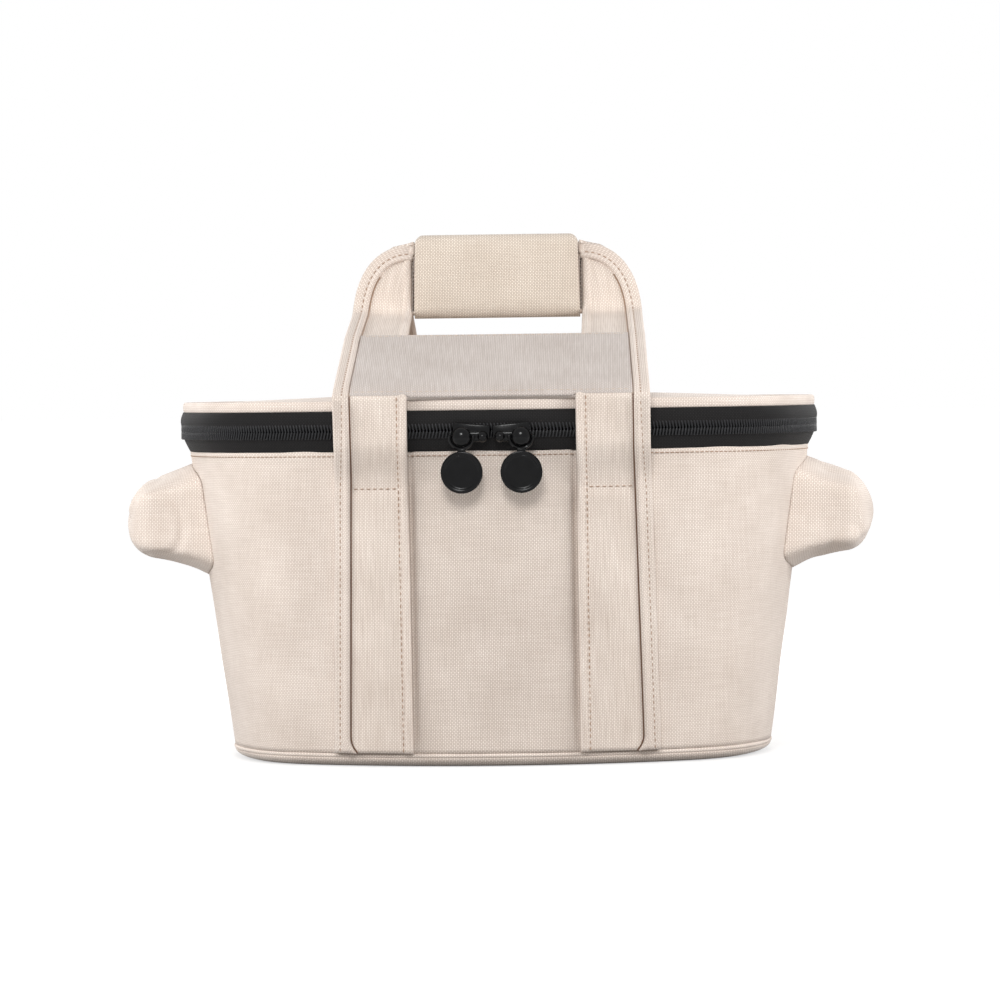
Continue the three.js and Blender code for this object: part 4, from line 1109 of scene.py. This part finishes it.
# Straps: four legs of ribbed canvas strap, sewn up the walls from the base seam to the bar-tack row.
# Above it they hang free in front of the zip. The inner edge is hemmed, the outer one has a binding.
STRAP_THICKNESS = 0.0022
STRAP_INSET = -0.0013
SEAM_GAP = 0.0003
BINDING_WIDTH = 0.0088
BINDING_TURN_IN = 0.0036
HEM_WIDTH = 0.0050
STRAP_CLEAR_RISE = 0.0047
PRESS_REACH = 0.010
PRESSED_SHARE = 0.4
STRAP_COLUMNS = 60
STRAP_ROWS = 84
SEAM_SHADOW_RADIUS = 0.00042
SEAM_SHADOW_PITCH = 0.0005
SEAM_BESIDE = 0.0002
SEAM_LIFT = 0.0001
BINDING_CLOTH = 0.0009
TURN_IN_REACH = 0.008
LEG_STITCH_RISE = 0.0009
LEG_EDGE_ROW_IN = 0.0032
LEG_EDGE_ROW_IN_TOP = 0.0053
HEM_ROW_BESIDE = 0.0004
TACK_MARGIN = 0.001
TACK_SINK = 0.0004
SMALL_STEP = 0.001
TACK_DIP = 0.0006
TACK_DIP_REACH = 0.0022
CREASE_RISE = 0.0036
strap_foot_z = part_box("front_left_strap")[0].z
strap_top_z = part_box("front_left_strap")[1].z
strap_clear_z = lower_tape_z + STRAP_CLEAR_RISE
crease_z = welt_high.z + CREASE_RISE
ribbed = woven_material("ribbed_strap", CANVAS_THREAD, (200, 184, 172), CANVAS_PITCH, 0.9, 0.2)
# Painted shadow: a thin dark brown tube along each binding's seam stands for the shade in the groove there.
painted_seam_shadow = woven_material("seam_shadow", (138, 108, 88), (92, 70, 56), SEAM_SHADOW_PITCH, 0.4, 0.3)


def front_y(x, inset):
    return front_centre_y - np.sqrt((front_radius - inset) ** 2 - x * x)


def strap_back_inset(z):
    on_wall = wall_inset(np.minimum(z, tack_z)) - SEAM_GAP
    free = np.clip((z - tack_z) / (strap_clear_z - tack_z), 0, 1)
    return on_wall + (STRAP_INSET - on_wall) * free ** 2 * (3 - 2 * free)


def pressed(from_crease):
    """The share of its height that the cloth keeps near the crease, where the fold presses it flat."""
    return np.interp(from_crease, (0, PRESS_REACH), (PRESSED_SHARE, 1))


def strap_point(x, z, lift):
    """A point on a front strap, `lift` out from its back. It leaves the wall's curve above the bar-tack."""
    lift = STRAP_THICKNESS / 2 + (lift - STRAP_THICKNESS / 2) * pressed(crease_z - z)
    free = np.clip((z - tack_z) / (strap_top_z - tack_z), 0, 1) ** 2
    flare = (front_y(STRAP_INNER_X, STRAP_INSET) - front_y(x, STRAP_INSET)) * free
    return x, front_y(x, strap_back_inset(z) - lift) + flare, z


def hem_rise(from_inner):
    """How far the folded inner hem stands over the strap, by distance from the inner edge."""
    spots = (0, 0.0003, 0.0012, HEM_WIDTH - 0.0016, HEM_WIDTH, HEM_WIDTH + 0.0008)
    return np.interp(from_inner, spots, (-0.0010, 0.0005, 0.0013, 0.0012, 0.0001, 0.0))


def binding_width(z):
    """The binding's width up a strap: its seam turns in at the foot."""
    return BINDING_WIDTH + BINDING_TURN_IN * np.clip(1 - (z - strap_foot_z) / TURN_IN_REACH, 0, 1) ** 2


def binding_rise(share):
    """How far the binding stands over the strap, from its edge: flat, then a ridge down to the seam."""
    spots = (0, 0.04, 0.10, 0.53, 0.61, 0.70, 0.82, 0.93, 1)
    rises = (-0.0006, 0.0003, 0.0007, 0.0007, 0.0009, 0.0017, 0.0018, 0.0012, -0.0005)
    return np.interp(share, spots, rises)


def turned_about(spin, points):
    """Points of the front of the carrier, or half a turn round at its rear."""
    x, y, z = points
    return spin * x, spin * y, z


def row_on_cloth(point, lift):
    """A path where `point` puts the cloth at a lift, and the direction out of the cloth along it."""
    path, over = (np.column_stack(point(height)) for height in (lift, lift + SMALL_STEP))
    return path, unit(over - path)


def strap_row(side, spin, from_outer, lift, levels):
    """A path up a strap at a distance from its outer edge, and the direction out of the cloth along it."""
    x = side * (strap_outer(levels) - from_outer)
    return row_on_cloth(lambda height: turned_about(spin, strap_point(x, levels, height)), lift)


def inner_to_outer(side, along):
    """How far points lie from the inner edge to the outer one, for cloth laid from left to right."""
    return along if side > 0 else 1 - along


for end, spin in (("front", 1), ("rear", -1)):
    for side in (-1, 1):
        label = "left" if side * spin < 0 else "right"

        def strap_place(along, up):
            z = strap_foot_z + up * (crease_z - strap_foot_z)
            from_inner = (strap_outer(z) - STRAP_INNER_X) * inner_to_outer(side, along)
            dip = TACK_DIP * np.exp(-((z - tack_z) / TACK_DIP_REACH) ** 2)
            lift = STRAP_THICKNESS + hem_rise(from_inner) - dip
            return turned_about(spin, strap_point(side * (STRAP_INNER_X + from_inner), z, lift))

        def binding_place(along, up):
            z = strap_foot_z + up * (crease_z - strap_foot_z)
            share = 1 - inner_to_outer(side, along)
            x = side * (strap_outer(z) - binding_width(z) * share)
            lift = STRAP_THICKNESS + SEAM_GAP + binding_rise(share)
            return turned_about(spin, strap_point(x, z, lift))

        strap = cloth_grid(f"{end}_{label}_leg", STRAP_COLUMNS, STRAP_ROWS, strap_place)
        thicken(strap, STRAP_THICKNESS - SEAM_GAP)
        dress(strap, "carrier_body", "canvas", ribbed, f"{end}_{label}_strap")
        edge = cloth_grid(f"{end}_{label}_leg_binding", 30, STRAP_ROWS, binding_place)
        thicken(edge, BINDING_CLOTH)
        dress(edge, "carrier_body", "canvas", canvas, f"{end}_{label}_strap_binding")
        levels = np.linspace(strap_foot_z, crease_z, 60)
        seam_in = binding_width(levels) + SEAM_BESIDE
        path, _ = strap_row(side, spin, seam_in, STRAP_THICKNESS + SEAM_LIFT, levels)
        # The dark tube along the seam is painted shadow.
        seam = tube(f"{end}_{label}_leg_seam_shadow", path, SEAM_SHADOW_RADIUS)
        dress(seam, "carrier_body", "canvas", painted_seam_shadow)
        leg_width = strap_outer(levels) - STRAP_INNER_X
        edge_row_in = np.interp(levels, (tack_z, crease_z), (LEG_EDGE_ROW_IN, LEG_EDGE_ROW_IN_TOP))
        rows = (("edge", edge_row_in), ("hem", leg_width - HEM_WIDTH - HEM_ROW_BESIDE))
        for row, from_outer in rows:
            path, outward = strap_row(side, spin, from_outer, STRAP_THICKNESS + LEG_STITCH_RISE, levels)
            sew(f"{end}_{label}_leg_{row}_stitches", "carrier_body", path, outward)
        tack_from = STRAP_INNER_X + HEM_WIDTH + TACK_MARGIN
        tack_to = strap_outer(tack_z) - BINDING_WIDTH - TACK_MARGIN
        across = np.linspace(tack_from, tack_to, 20) * side
        tack = np.full_like(across, tack_z)
        path = np.column_stack(turned_about(spin, strap_point(across, tack, STRAP_THICKNESS - TACK_SINK)))
        outward = np.tile((0, -spin, 0), (len(across), 1))
        sew(f"{end}_{label}_leg_tack", "carrier_body", path, outward)

# Handles: each pair of legs runs on over the lid's edge as one loop, crossed by a sewn yoke panel.
# The loop leans back to the middle of the lid, then stands up as an arch held in the grip.
YOKE_LENGTH = 0.089
YOKE_ANGLE = math.radians(20.2)
YOKE_PANEL = 0.0012
HAND_SIDE_ANGLE = math.radians(13.6)
BEND_RADIUS = 0.009
BARS_APART = 0.004
ARCH_HALF_WIDTH = 0.0795
ARCH_TOP_HALF_WIDTH = 0.046
ARCH_HEIGHT = 0.0379
BAR_SHARE = 0.4
SHOULDER_SQUARENESS = 2.3
INNER_SPREAD = 0.0025
SLIT_TOP = 0.0055
SLIT_CLOSE = 0.0022
SLIT_EASE = 0.0015
SLIT_ROW_FOOT = 0.001
SLIT_ROW_TOP = 0.002
SLIT_ROW_IN = 0.0006
SPREAD_EASE = 0.02
SLIT_STITCH_PITCH = 0.0022
LEAST_WIDTH = 0.0005
ARCH_SEAM_SHARE = 0.87
YOKE_LIP = 0.0016
LIP_GAP = 0.0004
LIP_EASE = 0.0006
YOKE_SAG = 0.0010
YOKE_ROW_IN = 0.0030
YOKE_FOLD = 0.0012
YOKE_FOOT_DIP = 0.0004
YOKE_TOP_DIP = 0.0008
YOKE_ROW_SHORT = 0.002
EDGE_ROW_IN = 0.0050
EDGE_STITCH_RISE = 0.0011
EDGE_ROW_SHORT = 0.002
LOOP_MERGE_REACH = 1e-5
CREASE_WRAP = 0.0024
CREASE_ROWS = 6
crease_y = front_y(STRAP_INNER_X, STRAP_INSET - STRAP_THICKNESS / 2)
bar_y = -(BARS_APART + STRAP_THICKNESS) / 2
crease_half_width = strap_outer(crease_z)


def handle_route():
    """Y and Z of the middle of a handle's cloth, from the crease to the top of the arch."""
    crease = np.array((crease_y, crease_z))
    yoke_top = crease + YOKE_LENGTH * np.array((math.cos(YOKE_ANGLE), math.sin(YOKE_ANGLE)))
    corner = np.array((bar_y, yoke_top[1] + (bar_y - yoke_top[0]) * math.tan(HAND_SIDE_ANGLE)))
    bend_in = corner - BEND_RADIUS * np.array((math.cos(HAND_SIDE_ANGLE), math.sin(HAND_SIDE_ANGLE)))
    bend_out = corner + np.array((0, BEND_RADIUS))
    share = np.linspace(0, 1, 13)[:, None]
    bend = (1 - share) ** 2 * bend_in + 2 * share * (1 - share) * corner + share ** 2 * bend_out
    return np.vstack([crease, yoke_top, bend, corner + np.array((0, ARCH_HEIGHT))])


route = handle_route()
route_reach = path_reach(route)
hand_side_end = route_reach[2]
bend_end = route_reach[-2]
route_length = route_reach[-1]
bar_from = hand_side_end + (bend_end - hand_side_end) * BAR_SHARE


def handle_point(x, along, lift):
    """A point on the front handle, `along` its route from the crease and `lift` out of its middle.

    Below the crease, down to -CREASE_WRAP, the cloth turns round it to lie on the strap.
    """
    behind, ahead = np.maximum(along - SMALL_STEP, 0), np.minimum(along + SMALL_STEP, route_length)
    here, back, on = (along_path(route, route_reach, spot).T for spot in (along, behind, ahead))
    wrapped = np.clip(-along / CREASE_WRAP, 0, 1) * (math.pi / 2 - YOKE_ANGLE)
    slope = np.where(along < 0, YOKE_ANGLE + wrapped, np.arctan2(on[1] - back[1], on[0] - back[0]))
    lift = lift * pressed(np.maximum(along, 0))
    return x, here[0] - np.sin(slope) * lift, here[1] + np.cos(slope) * lift


def handle_half_width(along):
    """Half the handle's width: it narrows to the bend, then the arch's shoulder closes in as an ellipse."""
    rise = np.clip((along - hand_side_end) / (route_length - hand_side_end), 0, 1)
    shoulder_share = (1 - rise ** SHOULDER_SQUARENESS) ** (1 / SHOULDER_SQUARENESS)
    shoulder = ARCH_TOP_HALF_WIDTH + (ARCH_HALF_WIDTH - ARCH_TOP_HALF_WIDTH) * shoulder_share
    straight_share = np.maximum(along, 0) / hand_side_end
    straight = crease_half_width + (ARCH_HALF_WIDTH - crease_half_width) * straight_share
    return np.where(along <= hand_side_end, straight, shoulder)


def edge_spots():
    """Spots along the handle's outer edge: X, distance along the route, and the way in from the edge."""
    wrap = np.linspace(-CREASE_WRAP, 0, CREASE_ROWS)[:-1]
    straight = np.concatenate([wrap, np.linspace(0, hand_side_end, 40)[:-1]])
    swing = np.linspace(0, math.pi / 2, 40)
    shoulder, shoulder_length = ARCH_HALF_WIDTH - ARCH_TOP_HALF_WIDTH, route_length - hand_side_end
    power = 2 / SHOULDER_SQUARENESS
    x = np.concatenate([handle_half_width(straight), ARCH_TOP_HALF_WIDTH + shoulder * np.cos(swing) ** power])
    along = np.concatenate([straight, hand_side_end + shoulder_length * np.sin(swing) ** power])
    inward_x = np.concatenate([-np.ones_like(straight), -np.cos(swing) ** (2 - power) / shoulder])
    inward_along = np.concatenate([np.zeros_like(straight), -np.sin(swing) ** (2 - power) / shoulder_length])
    size = np.hypot(inward_x, inward_along)
    return x, along, inward_x / size, inward_along / size


def handle_inner_x(along):
    """Where the inner edge of a leg is: set back above the yoke, and in to the grip at the arch's top."""
    slit_top = route_length - SLIT_TOP
    spots = (YOKE_LENGTH - SPREAD_EASE, YOKE_LENGTH, slit_top - SLIT_EASE, slit_top)
    set_back = (0, INNER_SPREAD, INNER_SPREAD, INNER_SPREAD - SLIT_CLOSE)
    return STRAP_INNER_X + np.interp(along, spots, set_back)


edge_table = np.column_stack(edge_spots())
edge_reach = path_reach(edge_table[:, :2])


def edge_point(side, spin, reach, from_outer, lift):
    """A point `reach` along the handle's outer edge and `from_outer` in from it."""
    x, along, in_x, in_along = along_path(edge_table, edge_reach, reach).T
    inner_x, inner_along = x + in_x * from_outer, along + in_along * from_outer
    return turned_about(spin, handle_point(side * inner_x, inner_along, lift))


def edge_row(side, spin, from_outer, lift):
    """A path along the handle's outer edge, and the direction out of the cloth along it."""
    reach = np.linspace(0, edge_reach[-1] - EDGE_ROW_SHORT, 120)
    return row_on_cloth(lambda height: edge_point(side, spin, reach, from_outer, height), lift)


def handle_row(spin, x, along, lift):
    """A path over the handle's cloth, and the direction out of the cloth along it."""
    return row_on_cloth(lambda height: turned_about(spin, handle_point(x, along, height)), lift)


def clears_lid(piece, spin):
    """Gives the rear handle's cloth a mesh of its own. The front handle is clear of the lid and is left as it
    is.
    """
    if spin < 0:
        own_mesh(piece)


# Painted shadow: a dark tube along each arch binding's seam, paler than the legs', stands for the shade in
# its groove.
painted_loop_shadow = woven_material("loop_seam_shadow", (188, 165, 146), (146, 122, 104), SEAM_SHADOW_PITCH, 0.4, 0.3)
# Painted shade: the yoke's canvas is greyer and darker than the rest, for its upward tilt under weak light
# from above.
yoke_canvas_painted_shade = woven_material("yoke_canvas_painted_shade", (229, 224, 221), (170, 160, 153), CANVAS_PITCH, 0.9, 0.2)
pale_thread = woven_material("pale_thread", (244, 236, 226), (206, 194, 182), FINE_PITCH, 0.4, 0.2)
# Overlock thread along the slits beside the grip: a real zigzag row, painted darker brown for the shade in
# the slit.
overlock_and_slit_shade = woven_material("overlock_thread", (120, 94, 76), (70, 52, 42), FINE_PITCH, 0.4, 0.2)

for end, spin in (("front", 1), ("rear", -1)):
    body = f"{end}_handle"
    half_cloth = STRAP_THICKNESS / 2
    legs = []
    for side in (-1, 1):
        def leg_place(along, up):
            reach = up * (route_length + CREASE_WRAP) - CREASE_WRAP
            inner = handle_inner_x(reach)
            width = np.maximum(handle_half_width(reach) - inner, LEAST_WIDTH)
            from_inner = width * inner_to_outer(side, along)
            lift = half_cloth + hem_rise(from_inner)
            return turned_about(spin, handle_point(side * (inner + from_inner), reach, lift))

        legs.append(cloth_grid(f"{end}_leg", 40, 120, leg_place))

    def bar_place(along, up):
        reach = bar_from + up * (route_length - bar_from)
        return turned_about(spin, handle_point((STRAP_INNER_X + INNER_SPREAD) * (along * 2 - 1), reach, 0.0))

    loop = joined(f"{end}_loop", [*legs, cloth_grid(f"{end}_bar", 40, 20, bar_place)])
    merge_points(LOOP_MERGE_REACH)
    thicken(loop, STRAP_THICKNESS)
    dress(loop, body, "canvas", ribbed, f"{end}_handle_loop")
    clears_lid(loop, spin)

    def yoke_place(along, up):
        from_crease = up * (YOKE_LENGTH + YOKE_LIP) - YOKE_LIP
        reach, lip = np.maximum(from_crease, 0), np.minimum(from_crease, 0)
        half = handle_half_width(reach) - BINDING_WIDTH - SEAM_GAP
        x = half * (along * 2 - 1)
        between = np.clip((STRAP_INNER_X - LIP_GAP - np.abs(x)) / LIP_EASE, 0, 1)
        fold_spots = (0, YOKE_FOLD, YOKE_LENGTH - YOKE_FOLD, YOKE_LENGTH)
        fold = np.interp(reach, fold_spots, (-YOKE_FOOT_DIP, 0, 0, -YOKE_TOP_DIP))
        sag = YOKE_SAG * np.clip(1 - (x / STRAP_INNER_X) ** 2, 0, 1) * np.sin(up * math.pi)
        lift = half_cloth + SEAM_GAP + YOKE_PANEL + fold - sag
        x, y, z = handle_point(x, reach, lift)
        return turned_about(spin, (x, y, z + lip * between))

    # The yoke's greyer cloth is painted shade.
    yoke = cloth_grid(f"{end}_yoke", 80, 60, yoke_place)
    thicken(yoke, YOKE_PANEL)
    dress(yoke, body, "canvas", yoke_canvas_painted_shade, f"{end}_yoke_panel")
    clears_lid(yoke, spin)

    for row, reach in (("foot", YOKE_ROW_IN), ("top", YOKE_LENGTH - YOKE_ROW_IN)):
        half = handle_half_width(np.array(reach)) - BINDING_WIDTH - YOKE_ROW_SHORT
        across = np.linspace(-half, half, 40)
        on_yoke = handle_row(spin, across, np.full_like(across, reach), half_cloth + SEAM_GAP + YOKE_PANEL)
        clears_lid(sew(f"{end}_yoke_{row}_stitches", body, *on_yoke, yarn=pale_thread), spin)

    for side in (-1, 1):
        label = "left" if side * spin < 0 else "right"

        def edge_place(along, up):
            share = 1 - inner_to_outer(side, along)
            lift = half_cloth + SEAM_GAP + binding_rise(share)
            return edge_point(side, spin, up * edge_reach[-1], BINDING_WIDTH * share, lift)

        edge = cloth_grid(f"{end}_{label}_loop_binding", 30, 130, edge_place)
        thicken(edge, BINDING_CLOTH)
        dress(edge, body, "canvas", canvas, f"{end}_{label}_arch_binding")
        clears_lid(edge, spin)
        # The tube along the binding's seam is painted shadow.
        path, _ = edge_row(side, spin, BINDING_WIDTH + SEAM_BESIDE, half_cloth + SEAM_GAP)
        path = path[:round(ARCH_SEAM_SHARE * len(path))]
        seam = dress(tube(f"{end}_{label}_painted_loop_shadow", path, SEAM_SHADOW_RADIUS), body, "canvas", painted_loop_shadow)
        clears_lid(seam, spin)
        on_binding = edge_row(side, spin, EDGE_ROW_IN, half_cloth + EDGE_STITCH_RISE)
        clears_lid(sew(f"{end}_{label}_loop_stitches", body, *on_binding), spin)
        # The slit's stitches are real; their dark tone is partly painted shade of the slit.
        spots = np.linspace(bar_from + SLIT_ROW_FOOT, route_length - SLIT_TOP - SLIT_ROW_TOP, 20)
        inner_x = np.full_like(spots, side * (STRAP_INNER_X + INNER_SPREAD - SLIT_ROW_IN))
        on_slit = handle_row(spin, inner_x, spots, SEAM_GAP)
        clears_lid(sew(f"{end}_{label}_slit_stitches", body, *on_slit, SLIT_STITCH_PITCH, overlock_and_slit_shade), spin)

# Grip wrap: a padded sleeve of finer canvas round both arches, in a front half and a rear flap.
# The flap opens about the sleeve's top edge, and closes underneath with hook and loop tape.
GRIP_HALF_LENGTH = 0.0446
GRIP_TAPER = 0.0008
GRIP_CORNER = 0.0050
GRIP_ROUND = 0.0065
GRIP_PRESSURE = 2.4
GRIP_SWELL = 0.0014
GRIP_END_DIP = 0.0012
GRIP_DIP_FROM = 0.94
GRIP_SEAM = 0.002
GRIP_END_SEAM = 0.001
GRIP_PADDING = 0.002
FINE_CANVAS_PITCH = 0.0009
GRIP_WAVE_SIZE = 0.02
GRIP_WAVE = 0.0003
TUFT_SIZE = 0.0016
TUFT = 0.0003
grip_low, grip_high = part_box("grip_cover")
grip_half_depth = -grip_low.y
fine_canvas = woven_material("fine_canvas", (255, 250, 239), (176, 160, 146), FINE_CANVAS_PITCH, 0.35, 0.35)


def grip_section():
    """Y and Z of the sleeve's front half, from the middle of its underside up to the middle of its top."""
    depth, foot, top = -grip_half_depth, grip_low.z, grip_high.z
    swing = np.linspace(0, math.pi / 2, 8)
    short, tall = GRIP_ROUND * (1 - np.sin(swing)), GRIP_ROUND * (1 - np.cos(swing))
    lower, upper = np.column_stack([depth + short, foot + tall]), np.column_stack([depth + tall, top - short])
    return np.vstack([(-SEAM_GAP / 2, foot), lower, upper, (-SEAM_GAP / 2, top)])


section = grip_section()
section_reach = path_reach(section)


def grip_sewn(points):
    at_seam = np.abs(points[:, 1]) < GRIP_SEAM
    return at_seam | (np.abs(points[:, 0]) > GRIP_HALF_LENGTH - GRIP_END_SEAM)


grips = (("grip_sleeve", 1, "front_handle", ("grip_cover", "grip_foam")),
         ("grip_sleeve_flap", -1, "grip_flap", ("grip_flap_cover", "grip_flap_foam")))
for name, spin, body, nodes in grips:
    def grip_place(along, up):
        y, z = along_path(section, section_reach, up * section_reach[-1]).T
        rise = (z - grip_low.z) / (grip_high.z - grip_low.z)
        near_top = np.clip((z - grip_high.z + GRIP_CORNER) / GRIP_CORNER, 0, 1)
        corner = GRIP_CORNER * (1 - np.sqrt(1 - 0.96 * near_top ** 2))
        x = (along * 2 - 1) * (GRIP_HALF_LENGTH + GRIP_TAPER * (1 - rise) - corner)
        to_end = np.clip((np.abs(along * 2 - 1) - GRIP_DIP_FROM) / (1 - GRIP_DIP_FROM), 0, 1)
        end_dip = GRIP_END_DIP * to_end ** 2
        waves = GRIP_WAVE * ripple(np.column_stack([x, y, z]), GRIP_WAVE_SIZE, 11.0) * (up > 0.1)
        return turned_about(spin, (x, y * (1 - end_dip / grip_half_depth) + waves, z))

    sleeve = cloth_grid(name, 64, 72, grip_place)
    swell(sleeve, grip_sewn, GRIP_PRESSURE, GRIP_SWELL)
    thicken(sleeve, CANVAS + GRIP_PADDING)
    dress(sleeve, body, "canvas", fine_canvas, *nodes)

for name, body in (("loop_tape", "front_handle"), ("hook_tape", "grip_flap")):
    tape_low, tape_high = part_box(name)

    def fastener_place(along, up):
        x = tape_low.x + along * (tape_high.x - tape_low.x)
        y = tape_low.y + up * (tape_high.y - tape_low.y)
        tufts = ripple(np.column_stack([x, y, x * 0]), TUFT_SIZE, 2.0)
        return x, y, tape_high.z - TUFT + TUFT * tufts

    strip = cloth_grid(f"{name}_strip", 74, 10, fastener_place, flat_cut=True)
    thicken(strip, tape_high.z - tape_low.z - TUFT)
    dress(strip, body, "fastener", fine_canvas, name)

# Studio: a white sweep, soft light from the front, both sides and behind, and a long lens at table height.
# The floor shows white to the camera and keeps the carrier's own faint shadow.
CAMERA_DISTANCE = 2.9
CAMERA_TURN = math.radians(1.6)
CAMERA_HEIGHT = 0.2034
CAMERA_ROLL = math.radians(-0.75)
AIM_HEIGHT = 0.1385
METRES_PER_PIXEL = 0.00055
FRAME_PIXELS = 1000
SENSOR = 36.0
FLOOR_GLOW_NEAR = 0.60
FLOOR_GLOW_FAR = 0.82
FLOOR_NEAR = 0.30
FLOOR_FAR = 0.80
WORLD_SEEN = 0.52
WORLD_LIGHT = 0.48

camera_data = bpy.data.cameras.new("camera")
camera_data.sensor_width = SENSOR
camera_data.lens = SENSOR * CAMERA_DISTANCE / (METRES_PER_PIXEL * FRAME_PIXELS)
camera_data.clip_end = 100.0
camera = bpy.data.objects.new("camera", camera_data)
bpy.context.scene.collection.objects.link(camera)
camera_x, camera_y = CAMERA_DISTANCE * math.sin(CAMERA_TURN), -CAMERA_DISTANCE * math.cos(CAMERA_TURN)


def aim_at(thing, place, target):
    thing.location = place
    thing.rotation_euler = (Vector(target) - Vector(place)).to_track_quat("-Z", "Y").to_euler()


aim_at(camera, (camera_x, camera_y, CAMERA_HEIGHT), (0, 0, AIM_HEIGHT))
camera.rotation_euler.rotate_axis("Z", CAMERA_ROLL)
bpy.context.scene.camera = camera

bpy.ops.object.select_all(action="DESELECT")
bpy.ops.mesh.primitive_plane_add(size=60)
floor = bpy.context.object
floor.name = "floor"
floor_paint, floor_surface, floor_spot = new_material("white_floor")
floor_tree = floor_paint.node_tree
set_sockets(floor_surface, {"Base Color": linear((170, 170, 170)), "Emission Color": (1, 1, 1, 1)})
set_sockets(floor_surface, {"Roughness": 1.0, "Specular IOR Level": 0.0})


def seen_straight(tree):
    """Light Path's mask of what the camera, gloss and glass see."""
    path = tree.nodes.new("ShaderNodeLightPath")
    mirrored = math_node(tree, "MAXIMUM", path.outputs["Is Glossy Ray"], path.outputs["Is Transmission Ray"])
    return math_node(tree, "MAXIMUM", path.outputs["Is Camera Ray"], mirrored)


floor_reach = floor_tree.nodes.new("ShaderNodeVectorMath")
floor_reach.operation = "LENGTH"
set_sockets(floor_reach, {0: floor_spot["Object"]})
floor_fade = floor_tree.nodes.new("ShaderNodeMapRange")
set_sockets(floor_fade, {"From Min": FLOOR_NEAR, "From Max": FLOOR_FAR, "To Min": FLOOR_GLOW_NEAR})
set_sockets(floor_fade, {"To Max": FLOOR_GLOW_FAR, "Value": floor_reach.outputs["Value"]})
floor_glow = math_node(floor_tree, "MULTIPLY", seen_straight(floor_tree), floor_fade.outputs["Result"])
set_sockets(floor_surface, {"Emission Strength": floor_glow})
floor.data.materials.append(floor_paint)

world = bpy.data.worlds.new("studio")
bpy.context.scene.world = world
world.use_nodes = True
seen = math_node(world.node_tree, "MULTIPLY", seen_straight(world.node_tree), WORLD_SEEN)
world_strength = math_node(world.node_tree, "ADD", seen, WORLD_LIGHT)
set_sockets(world.node_tree.nodes["Background"], {"Color": (1, 1, 1, 1), "Strength": world_strength})


def softbox(name, place, aim, size, power, in_gloss=True):
    light = bpy.data.lights.new(name, "AREA")
    light.shape = "DISK"
    light.size = size
    light.energy = power
    lamp = bpy.data.objects.new(name, light)
    bpy.context.scene.collection.objects.link(lamp)
    lamp.visible_glossy = in_gloss
    aim_at(lamp, place, aim)


for side in (-1, 1):
    softbox("front_side_softbox", (side * 0.75, -0.35, 0.36), (0, 0, 0.15), 0.35, 3.6, in_gloss=False)
    softbox("rear_side_softbox", (side * 0.85, 0.9, 0.5), (0, 0, 0.15), 0.5, 4.2)
softbox("front_softbox", (-0.05, -1.3, 0.8), (0, 0, 0.2), 0.4, 9)
softbox("rear_softbox", (0.05, 1.5, 0.7), (0, 0, 0.2), 0.5, 6)

bpy.context.scene.view_settings.view_transform = "Standard"
